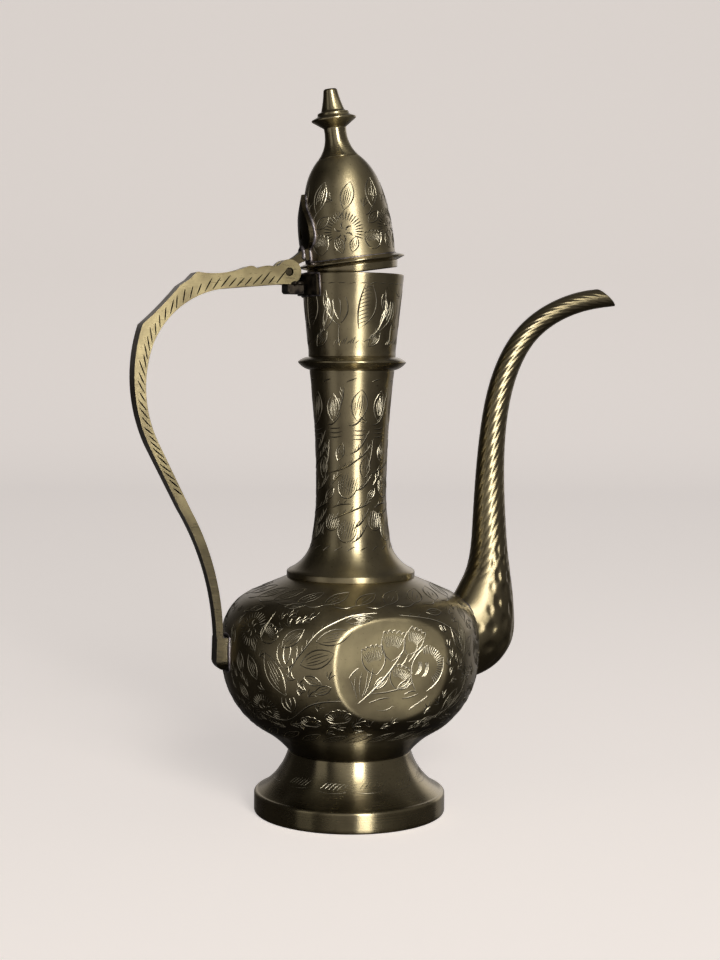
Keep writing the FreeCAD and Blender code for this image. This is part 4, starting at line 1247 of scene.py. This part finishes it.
def fill(skin, cuts, heights, gap, tries=900, keep=None):
    """The cuts, with sprigs on the bare spots that they leave between two heights."""
    taken = np.concatenate([cut[0](cut[1]) for cut in cuts])
    added = []
    for angle, height, turn in zip(hand.uniform(-180, 180, tries), hand.uniform(*heights, tries),
                                   hand.uniform(-80, 80, tries)):
        spot = spots_on(skin, np.array([angle]), length_at(skin, [height]))
        bare = np.linalg.norm(taken - spot, axis=1).min() > gap
        if bare and (keep is None or keep(angle, height)):
            added += sign(skin, angle, height, sprig(1.5 * gap), turn)
            taken = np.concatenate((taken, spot))
    return cuts + added


print("a sprig has", len(sprig(1.0)), "strokes")

# %% [markdown]
# ## The bowl's garden
# The bowl carries the richest work: scrolling stems with hatched leaves, daisies and fans between the
# panels, a border of broad leaves on the shoulder and one of narrow slanting leaves below. The back repeats
# the front.

# %% Bowl ornament
SHOULDER_LEAVES = 21
LOWER_LEAVES = 28
SPOUT_ANGLE = 110.0
SPOUT_SPREAD = 19                    # degrees to either side that the spout's root takes up
SPOUT_HEIGHTS = (44, 78)
PANEL_MARGIN = 0.4
HANDLE_SIDE = -43                    # X beyond which the handle's pad is near
HANDLE_ROOM = 5                      # and half the width it needs


def on_bowl(places):
    """Places on the bowl's round, pressed where the panels are."""
    return press(places, PANEL)


bowl_skin = skin_of(BOWL_SKIN, on_bowl)
BOWL_VINES = [
    ([(-27.8, 53.2), (-23.9, 60.0), (-19.4, 64.8), (-13.9, 70.2), (-6.7, 73.5), (1.7, 75.6),
      (13.0, 76.2)], 12),
    ([(-45.0, 40.6), (-30.2, 39.4), (-19.1, 44.9), (-9.0, 47.3), (-3.6, 47.6)], 7),
    ([(24.0, 75.4), (35.2, 74.2), (47.0, 71.4), (54.0, 66.0), (56.6, 61.0)], 8),
    ([(57.0, 60.0), (60.0, 51.0), (53.0, 43.0), (40.0, 39.6), (28.0, 39.2)], 8),
    ([(-41.7, 67.1), (-40.0, 71.4), (-38.9, 75.3)], 0),
]
# Angle, height, sign and its turn to the left
BOWL_SIGNS = [
    (-21.2, 59.4, leaf(12.8, 6.2, 7), -68), (-14.5, 67.3, leaf(12.6, 5.2, 7), -73),
    (-2.0, 73.8, leaf(9.5, 3.4, 6), -84), (-49.0, 69.6, daisy(6.4, 26), 0),
    (-40.5, 66.0, fan(6.6, 11, 40), -38), (-30.1, 64.6, leaf(9.8, 4.4, 6), -44),
    (-28.0, 57.5, tulip(8.0, 6.6), -4), (-28.3, 48.4, leaf(15.5, 6.0, 7), 30),
    (-43.6, 52.6, leaf(8.6, 4.0, 5), 24), (-54.0, 53.6, leaf(8.0, 4.2, 5), 8),
    (-60.5, 63.5, leaf(6.6, 3.4, 4), 30), (-42.0, 42.2, daisy(6.0, 22, 250), 0),
    (-27.0, 42.6, tulip(5.6, 4.6), 6), (-18.8, 37.8, fan(4.4, 9), -8), (-4.8, 39.6, fan(5.0, 11), 4),
    (-51.5, 44.5, leaf(7.0, 3.2, 4), 32), (-19.6, 55.4, leaf(6.8, 3.0, 4), -108),
    (-15.0, 50.2, leaf(6.0, 2.8, 3), -76), (-36.0, 77.0, leaf(7.0, 2.6, 4), -78),
    (-57.0, 74.6, leaf(6.0, 2.6, 3), -60), (56.6, 60.5, leaf(10.8, 3.8, 5), 24),
    (57.0, 60.5, leaf(11.5, 3.8, 5), -8), (58.0, 60.0, leaf(9.5, 3.6, 5), -50),
    (60.5, 52.6, daisy(3.5, 13), 0), (47.2, 41.0, leaf(10.6, 4.2, 5), -36),
    (53.0, 41.5, leaf(8.6, 3.2, 4), -48), (70.0, 44.0, fan(4.8, 9), 8),
    (72.0, 56.5, leaf(8.4, 3.8, 5), 10), (40.0, 75.6, leaf(7.5, 3.0, 4), -96),
    (64.0, 71.0, leaf(7.0, 3.2, 4), -30), (36.0, 38.4, leaf(6.0, 2.4, 3), -74),
]


def clear_of_spout(angle, height):
    """Whether a sign stays off the spout's root."""
    away = abs((angle - SPOUT_ANGLE + 180) % 360 - 180)
    return away > SPOUT_SPREAD or not SPOUT_HEIGHTS[0] < height < SPOUT_HEIGHTS[1]


def on_the_round(angle, height):
    """Whether a spot lies on the bowl's round, off the panels, the spout and the handle's pad."""
    x, y = radius_at(bowl_skin, height) * np.array(plan(angle))
    off_panels = abs(y) < PANEL - PANEL_MARGIN
    off_handle = x > HANDLE_SIDE or abs(y) > HANDLE_ROOM
    return off_panels and off_handle and clear_of_spout(angle, height)


def bowl_cuts():
    """The garden, front and back, with the two borders and the filling."""
    cuts = ornament(bowl_skin, 2, BOWL_SIGNS, BOWL_VINES, BOLD, 2.2, clear_of_spout)
    for k in range(SHOULDER_LEAVES):
        angle = 360 * k / SHOULDER_LEAVES
        cuts += sign(bowl_skin, angle + 3.0, 78.3, leaf(11.4, 5.4, 4), -40)
        cuts += vine(bowl_skin, [(angle - 9.0, 78.0), (angle - 3.0, 77.5), (angle + 3.0, 78.3)], PLAIN)
    for k in range(LOWER_LEAVES):
        cuts += sign(bowl_skin, 360 * k / LOWER_LEAVES - 3.0, 31.4, leaf(10.8, 2.8, 3), -60)
    return fill(bowl_skin, cuts, (34, 75), 2.2, 4000, on_the_round)


engrave("bowl_engraving", bowl_cuts(), "pot")

# %% [markdown]
# ## The oval panels
# A spray fills each panel: one stem from the lower left with four fan flowers, and a large round flower at
# the right, half ringed with ticks, with two bright slivers in its middle.

# %% Panel ornament
PANEL_CENTRE = 56.6                  # height of a panel's middle
PANEL_STROKES = [
    (bow((-12.0, -10.0), (4.4, 7.3), -1.3, 12), BOLD), (bow((-8.6, -6.9), (7.5, -4.4), -1.0, 12), PLAIN),
    (bow((12.9, 8.4), (8.6, -6.9), -3.7, 14), BOLD), (bow((18.7, 4.2), (12.5, -7.3), 2.2, 12), BOLD),
    (bow((5.6, 5.4), (3.0, 1.8), 0.4), PLAIN), (bow((9.4, 9.0), (6.0, 3.0), 0.5), PLAIN),
    (bow((-15.4, -1.4), (-11.9, 1.9), 0.3), PLAIN), (bow((-15.0, -2.0), (-13.8, -5.6), 0.3), FINE),
    (bow((-12.4, -8.6), (-13.2, -1.0), 0.5), FINE), (bow((-11.4, -8.2), (-10.8, 0.4), 0.5), FINE),
    (bow((-10.6, -7.8), (-8.6, 0.6), -0.4), FINE), (bow((-9.8, -7.2), (-6.9, 1.4), -0.4), PLAIN),
    (bow((-7.9, -10.0), (-0.6, -8.8), 0.4), PLAIN), (bow((3.6, -9.2), (9.4, -8.0), -0.4), PLAIN),
    (bow((4.6, -8.0), (8.8, -7.2), 0.5), PLAIN), (bow((-5.6, -12.6), (0.4, -11.6), -0.8), FINE),
]
PANEL_SIGNS = [((-5.6, -0.8), fan(9.2, 11, 25), 10), ((-0.2, 3.5), fan(9.4, 11, 25), -6),
               ((5.6, 5.4), fan(8.6, 9, 21), -26), ((1.3, -5.8), fan(7.4, 11, 30), -22),
               ((-6.6, -5.6), leaf(6.8, 2.8, 6), -52), ((1.8, -6.0), leaf(6.0, 2.4, 3), -66)]
ROUND_FLOWER = np.array((12.7, 1.2))
FLOWER_TICKS = headings(-14, 152, 21) * (1.0, 1.12)  # the flower is a little taller than wide
SLIVERS = [(8.9, 2.8, -1.4), (11.4, 2.4, -2.2)]  # left, top and bottom of the two bright slivers
SLIVER_CUTS = (-0.45, 0.0, 0.45)     # strokes side by side that make a sliver
PANEL_DASHES = 9
PANEL_BURR = 0.16                    # cuts on the flat panels are shallow


def panel_strokes():
    """All strokes of a panel, from its middle."""
    strokes = list(PANEL_STROKES)
    for start, motif, turn in PANEL_SIGNS:
        strokes += [(marks @ spin(math.radians(turn)) + start, half) for marks, half in motif]
    for way in FLOWER_TICKS:
        strokes.append((bow(ROUND_FLOWER + way * 3.7, ROUND_FLOWER + way * 6.2, 0.0, 5), PLAIN))
    for left, top, low in SLIVERS:
        for shift in SLIVER_CUTS:
            strokes.append((bow((left + 1.2 + shift, top), (left + shift, low), 0.7, 9), BOLD))
    for k in range(PANEL_DASHES):
        start = np.array((6.4 + 0.72 * k, -13.2 + 0.42 * k))
        strokes.append((bow(start, start + (0.9, 0.9), 0.0, 4), FINE))
    return strokes


def flat_face(front, heights, depths, middle=0.0):
    """A place function for marks on a flat face at front or back, seen from outside; its depth may vary."""
    side = -1.0 if front else 1.0

    def place(marks):
        rise = marks[:, 1] + middle
        return np.stack((-side * marks[:, 0], side * np.interp(rise, heights, depths), rise), axis=-1)

    return place


panel_cuts = []
for front in (True, False):
    place = flat_face(front, (0.0,), (PANEL,), PANEL_CENTRE)
    panel_cuts += [(place, marks, half) for marks, half in panel_strokes()]
engrave("panel_engraving", panel_cuts, "pot", burr=PANEL_BURR)

# %% [markdown]
# ## Neck, cup and foot
# The neck has five repeats of upright leaves over two rows of hatched cups, with sweeping stems between
# them. The mouth cup has five repeats of a ladder-like leaf and a tulip. The foot has only groups of short
# slanting strokes, each over one long stroke.

# %% Neck, cup and foot ornament
neck_skin = skin_of(NECK_SKIN)
cup_skin = skin_of(CUP_SKIN)
foot_skin = skin_of(FOOT_SKIN)
BLADE = 0.09                         # half width of the faint strokes on the foot
NECK_SIGNS = [
    (-29.0, 140.0, leaf(10.5, 5.0, 8), -6), (8.0, 140.0, leaf(11.0, 5.6, 9), -10),
    (-25.0, 134.4, dashes(3, 4.6, 1.5), 0), (12.0, 133.6, dashes(3, 4.6, 1.6), 0),
    (20.0, 119.6, leaf(8.0, 3.6, 5), -4), (-22.0, 126.0, leaf(6.4, 2.8, 5), -14),
    (-9.0, 112.8, cup(9.0, 6.6, 7), -4), (-9.0, 97.4, cup(9.0, 7.0, 7), -6),
    (-33.0, 101.4, cup(6.8, 5.6, 6), -4), (27.0, 112.0, leaf(5.5, 2.4, 4), -40),
]
NECK_VINES = [
    ([(-38.0, 121.6), (-7.0, 124.0), (20.0, 128.4), (31.0, 131.8)], 6),
    ([(-36.0, 104.6), (-7.0, 107.6), (20.0, 110.0), (33.0, 111.6)], 6),
    ([(-38.0, 138.8), (-28.0, 139.4), (-16.0, 142.8)], 0), ([(-4.0, 138.6), (8.0, 139.2), (20.0, 143.0)], 0),
    ([(-2.0, 128.4), (14.0, 130.8), (28.0, 136.6)], 4), ([(-34.0, 117.4), (-26.0, 119.6), (-16.0, 121.4)], 2),
    ([(6.0, 115.4), (20.0, 116.8), (34.0, 121.0)], 4), ([(-32.0, 109.2), (-18.0, 110.6), (0.0, 110.8)], 2),
    ([(4.0, 102.4), (16.0, 104.2), (30.0, 109.0)], 4), ([(2.0, 97.4), (14.0, 99.4), (26.0, 104.0)], 3),
    ([(26.0, 123.0), (33.0, 127.6), (35.0, 133.4)], 3), ([(-18.0, 144.0), (-13.0, 148.4), (-11.0, 152.0)], 3),
]
CUP_SIGNS = [
    (8.0, 172.6, ladder(14.5, 5.0, 10), 0), (36.0, 172.0, leaf(11.0, 3.6, 4), -24),
    (-16.0, 174.0, tulip(9.0, 6.4), 4), (-24.0, 167.0, grass(9, 2.6, 0.95), 0),
    (21.0, 166.4, leaf(7.0, 3.6, 6), -40), (44.0, 178.5, leaf(6.5, 2.4, 2), 16),
]
CUP_VINES = [
    ([(-16.0, 166.6), (-17.0, 170.0), (-16.0, 174.0)], 0),
    ([(14.0, 168.0), (30.0, 171.0), (42.0, 178.0), (41.0, 186.0)], 5),
]
FOOT_BLADES = [(bow((1.45 * k, 0.0), (1.45 * k + 2.0, 2.6), 0.15, 6), BLADE) for k in range(6)]
FOOT_BLADES.append((bow((-1.2, -0.9), (9.0, -0.2), -0.7, 12), BLADE))
NECK_TOP = [(bow((-1.8, 0.0), (1.8, 0.8), 0.2), PLAIN)]
NECK_FOOT = [(bow((-1.2, -0.5), (1.4, 1.1), 0.2), PLAIN)]
CUP_TOP = [(bow((-1.3, 0.0), (1.3, 0.3), 0.15), FINE)]
NECK_SIGNS += [(36.0 * step, 154.0, NECK_TOP, 4) for step in range(2)]
NECK_SIGNS += [(18.0 * step, 94.8, NECK_FOOT, 0) for step in range(4)]
CUP_SIGNS += [(12.0 * step, 188.4, CUP_TOP, 2) for step in range(6)]

neck_cuts = fill(neck_skin, ornament(neck_skin, 5, NECK_SIGNS, NECK_VINES, BOLD, 2.4), (99, 150), 2.3)
cup_cuts = fill(cup_skin, ornament(cup_skin, 5, CUP_SIGNS, CUP_VINES, PLAIN, 1.8), (168, 185), 2.6)
foot_cuts = ornament(foot_skin, 12, [(-22.0, 13.4, FOOT_BLADES, 0)])
engrave("neck_engraving", neck_cuts, "pot")
engrave("cup_engraving", cup_cuts, "pot")
engrave("foot_engraving", foot_cuts, "pot")

# %% [markdown]
# ## The lid's rows
# Nine slanting leaves stand high on the dome, and five daisies with fans between them stand below. They
# ride with the lid, so they are placed on its own outline and tipped with it.

# %% Lid ornament
dome_skin = skin_of(DOME_SKIN, set_ajar)
DOME_LEAVES = 9
DOME_DAISIES = 5


def dome_cuts():
    """Leaves above, daisies and fans below, and the filling."""
    cuts = []
    for k in range(DOME_LEAVES):
        angle = 360.0 * k / DOME_LEAVES
        cuts += sign(dome_skin, angle - 2.0, 18.0, leaf(11.5, 5.0, 6), -20)
        cuts += vine(dome_skin, [(angle - 14.0, 15.5), (angle - 8.0, 16.2), (angle - 2.0, 18.0)], PLAIN)
    for k in range(DOME_DAISIES):
        angle = 360.0 * k / DOME_DAISIES
        cuts += sign(dome_skin, angle - 6.0, 10.4, daisy(7.2, 24, 230), 0)
        cuts += sign(dome_skin, angle - 10.0, 3.0, leaf(6.0, 3.2, 5), 18)
        cuts += sign(dome_skin, angle + 2.0, 3.0, leaf(6.0, 3.2, 5), -24)
        cuts += sign(dome_skin, angle + 32.0, 3.2, fan(6.5, 11, 34), -4)
        cuts += sign(dome_skin, angle + 28.0, 12.6, leaf(6.8, 3.4, 4), -58)
    return fill(dome_skin, cuts, (4, 22), 2.6)


engrave("lid_engraving", dome_cuts(), "lid")

# %% [markdown]
# ## Chiselled handle
# A chisel struck along the handle's inner edge leaves black slanting nicks on both sides, even in pitch and
# leaning towards the hinge.

# %% Handle nicks
INNER_EDGE = [(-48.1, 64.4), (-60.2, 109.4, 92.7, 1), (-71.9, 132.7), (-73.8, 167.0, 44.3, -1),
              (-49.0, 186.2, 31.4, -1), (-29.5, 188.0)]
NICK_PITCH = 2.9
NICK_LENGTH = 4.8
NICK_INSET = 0.55
NICK_LOWEST = 113.0
NICK_GROWTH = (100, 120)             # heights between which they grow from half their length
NICK_LEAN = (66, 46)                 # degrees towards the hinge, on the upright part and on the arm
NICK_BEND = (165, 183)               # heights between which the one becomes the other
NICK_SLIPS = (0.12, 3.0)             # how far the hand misses length, as a share, and lean, in degrees
HANDLE_HALF = (2.7, 4.0)             # half thickness of the handle, low and high
HANDLE_TAPER = (86.0, 130.0)         # and the heights between which it grows
LOOK_AHEAD = 0.4


def handle_cuts():
    """Nicks along the inner edge, the same on both sides."""
    points = outline_points(INNER_EDGE, 0.25)
    lengths = run_of(points)
    cuts = []
    for spot in np.arange(1.0, lengths[-1], NICK_PITCH):
        start, ahead = [np.array([np.interp(place, lengths, axis) for axis in points.T])
                        for place in (spot, spot + LOOK_AHEAD)]
        if start[1] < NICK_LOWEST:
            continue
        ahead = (ahead - start) / np.hypot(*(ahead - start))
        outward = np.array((-ahead[1], ahead[0]))
        grown = np.interp(start[1], NICK_GROWTH, (0.5, 1.0)) * (1 + hand.normal(0.0, NICK_SLIPS[0]))
        long = NICK_LENGTH * grown
        lean = math.radians(np.interp(start[1], NICK_BEND, NICK_LEAN) + hand.normal(0.0, NICK_SLIPS[1]))
        first = start + outward * NICK_INSET
        marks = bow(first, first + long * (outward * math.cos(lean) + ahead * math.sin(lean)), 0.0, 6)
        for front, mirrored in ((True, 1.0), (False, -1.0)):
            cuts.append((flat_face(front, HANDLE_TAPER, HANDLE_HALF), marks * (mirrored, 1.0), PLAIN))
    return cuts


engrave("handle_nicks", handle_cuts(), "pot", BLACK_CUT)

# %% [markdown]
# ## Solder
# Soft solder holds spout, handle, saddle and leaf. It is wiped with a rag while it sets, so a lumpy grey
# bead stays along each seam. A second node tree carries a round section along the seams, as thick as each
# point says.

# %% Helpers for solder
BEAD_SIDES = 10
LUMP_RUN = 4                         # points over which the lumps of a bead are evened out
LUMPS = (0.4, 1.2)                   # least thickness of a bead, and what a full lump adds


def bead_tree():
    """Nodes that turn seams with a half width into round beads."""
    tree = line_tree("solder beads")
    given = add(tree, "NodeGroupInput").outputs
    seams = add(tree, "GeometryNodeMeshToCurve", {"Mesh": given["Lines"]})
    section = add(tree, "GeometryNodeCurvePrimitiveCircle", {"Resolution": BEAD_SIDES, "Radius": 1.0})
    end_tree(tree, seams, section, given["Finish"])
    return tree


BEADS = bead_tree()
print(BEADS.name, "has", len(BEADS.nodes), "nodes")


def solder(name, seams, body, finish=SOLDER):
    """Run a lumpy bead along closed seams, each a loop of places and a half width in millimetres."""
    places, edges, halves = [], [], []
    for loop, half in seams:
        start = sum(len(group) for group in places)
        count = len(loop)
        edges += [(start + k, start + (k + 1) % count) for k in range(count)]
        rough = np.tile(hand.random(count), 3)
        lumps = np.convolve(rough, np.ones(LUMP_RUN) / LUMP_RUN, "same")[count:2 * count]
        places.append(loop)
        halves.append(half * (LUMPS[0] + LUMPS[1] * lumps))
    piece = line_piece(name, places, edges, halves, finish)
    made = apply_nodes(piece, BEADS, Finish=finish)
    welded(made)
    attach(piece, body)
    print(name, len(seams), "seams", len(made.polygons), "faces")


# %% [markdown]
# ## Seams
# A seam is a closed loop of places where two pieces meet. The spout's is found by asking of each line along
# the tube where it leaves the bowl. The others follow the edges of plates and pads, laid on the skin that
# carries them.

# %% Seams
SEAM_RINGS = 80                      # rings of the spout, from its root, among which the seam lies
PAD_HALF = (3.7, 6.4)                # half width and half height of the handle's pad
PAD_MIDDLE = 58.6
PAD_SQUARE = 0.4                     # the lower, the squarer its corners
SADDLE_HEIGHTS = (184.4, 192.0)
SADDLE_SPREAD = 31.5                 # degrees to either side
SADDLE_POINTS = 24
SADDLE_LIFT = 0.1
EAR_MIDDLE = (-22.3, 3.5, 188.6)
EAR_HALF = (1.9, 0.5)
TONGUE_MIDDLE = (-18.2, 4.9)         # X and height of the root of the leaf's tongue
TONGUE_HALF = (1.8, 2.1)
LEAF_LIFT = 0.15
DOME_EDGE = (16.1, 1.25)             # radius and height
SMALL_LOOP = 40                      # points round an ear or the tongue
PAD_LOOP = 60
DOME_LOOP = 120
LEAF_OUTLINE = [(2.4, 1.4), (2.4, 6.2), (6.4, 11.6, 4.6, 1), (3.2, 19.0, 12.0, 1), (0.0, 25.7, 16.0, -1),
                (-3.2, 19.0, 16.0, -1), (-6.4, 11.6, 12.0, 1), (-2.4, 6.2, 4.6, 1), (-2.4, 1.4)]


def spout_seam():
    """Where the spout's skin enters the bowl."""
    skin = spout_tube(sections, spots, 0.0, False)
    outside = np.hypot(skin[..., 0], skin[..., 1]) - radius_at(bowl_skin, skin[..., 2])
    inside = outside[:SEAM_RINGS] < 0
    last = np.where(inside.any(axis=0), SEAM_RINGS - 1 - inside[::-1].argmax(axis=0), -1)
    return skin[last + 1, np.arange(SPOUT_ROUND)][::2]


def ring(count):
    """Cosines and sines of angles that go once round."""
    turns = np.linspace(0.0, 2 * math.pi, count, endpoint=False)
    return np.cos(turns), np.sin(turns)


def pad_seam():
    """Round the handle's pad on the bowl."""
    across, rise = [half * np.sign(share) * np.abs(share) ** PAD_SQUARE
                    for half, share in zip(PAD_HALF, ring(PAD_LOOP))]
    heights = PAD_MIDDLE + rise
    radius = radius_at(bowl_skin, heights)
    return np.stack((-np.sqrt(radius ** 2 - across ** 2), across, heights), axis=-1)


def saddle_seam():
    """Round the saddle's plate on the cup."""
    there = np.linspace(-SADDLE_SPREAD, SADDLE_SPREAD, SADDLE_POINTS)
    angles = np.radians(np.concatenate((there, there[::-1])))
    heights = np.repeat(SADDLE_HEIGHTS, SADDLE_POINTS)
    radius = radius_at(cup_skin, heights) + SADDLE_LIFT
    return np.stack((-radius * np.cos(angles), radius * np.sin(angles), heights), axis=-1)


def ear_seam(side):
    """Lumps between an ear of the handle and the block below it."""
    ahead, across = ring(SMALL_LOOP)
    x, y, z = EAR_MIDDLE
    level = np.full(SMALL_LOOP, z)
    return np.stack((x + EAR_HALF[0] * ahead, side * (y + EAR_HALF[1] * across), level), axis=-1)


def leaf_seam():
    """Round the hinge leaf on the dome."""
    across, heights = outline_points(LEAF_OUTLINE, 0.9).T
    radius = radius_at(dome_skin, heights) + LEAF_LIFT
    return set_ajar(np.stack((-np.sqrt(radius ** 2 - across ** 2), across, heights), axis=-1))


def tongue_seam():
    """Round the root of the leaf's tongue, which the knuckle sits on."""
    across, rise = ring(SMALL_LOOP)
    x, z = TONGUE_MIDDLE
    upright = np.full(SMALL_LOOP, x)
    return set_ajar(np.stack((upright, TONGUE_HALF[0] * across, z + TONGUE_HALF[1] * rise), axis=-1))


def dome_seam():
    """Round the lower edge of the dome."""
    east, north = ring(DOME_LOOP)
    radius, height = DOME_EDGE
    return set_ajar(np.stack((radius * east, radius * north, np.full(DOME_LOOP, height)), axis=-1))


solder("pot_solder", [(spout_seam(), 0.55), (pad_seam(), 0.5), (saddle_seam(), 0.5)], "pot")
# painted shade: the solder between the ears and the block below them is dark
solder("ear_solder", [(ear_seam(side), 0.7) for side in (-1, 1)], "pot", BLACK_SOLDER)
solder("lid_solder", [(leaf_seam(), 0.55), (tongue_seam(), 0.8), (dome_seam(), 0.28)], "lid")
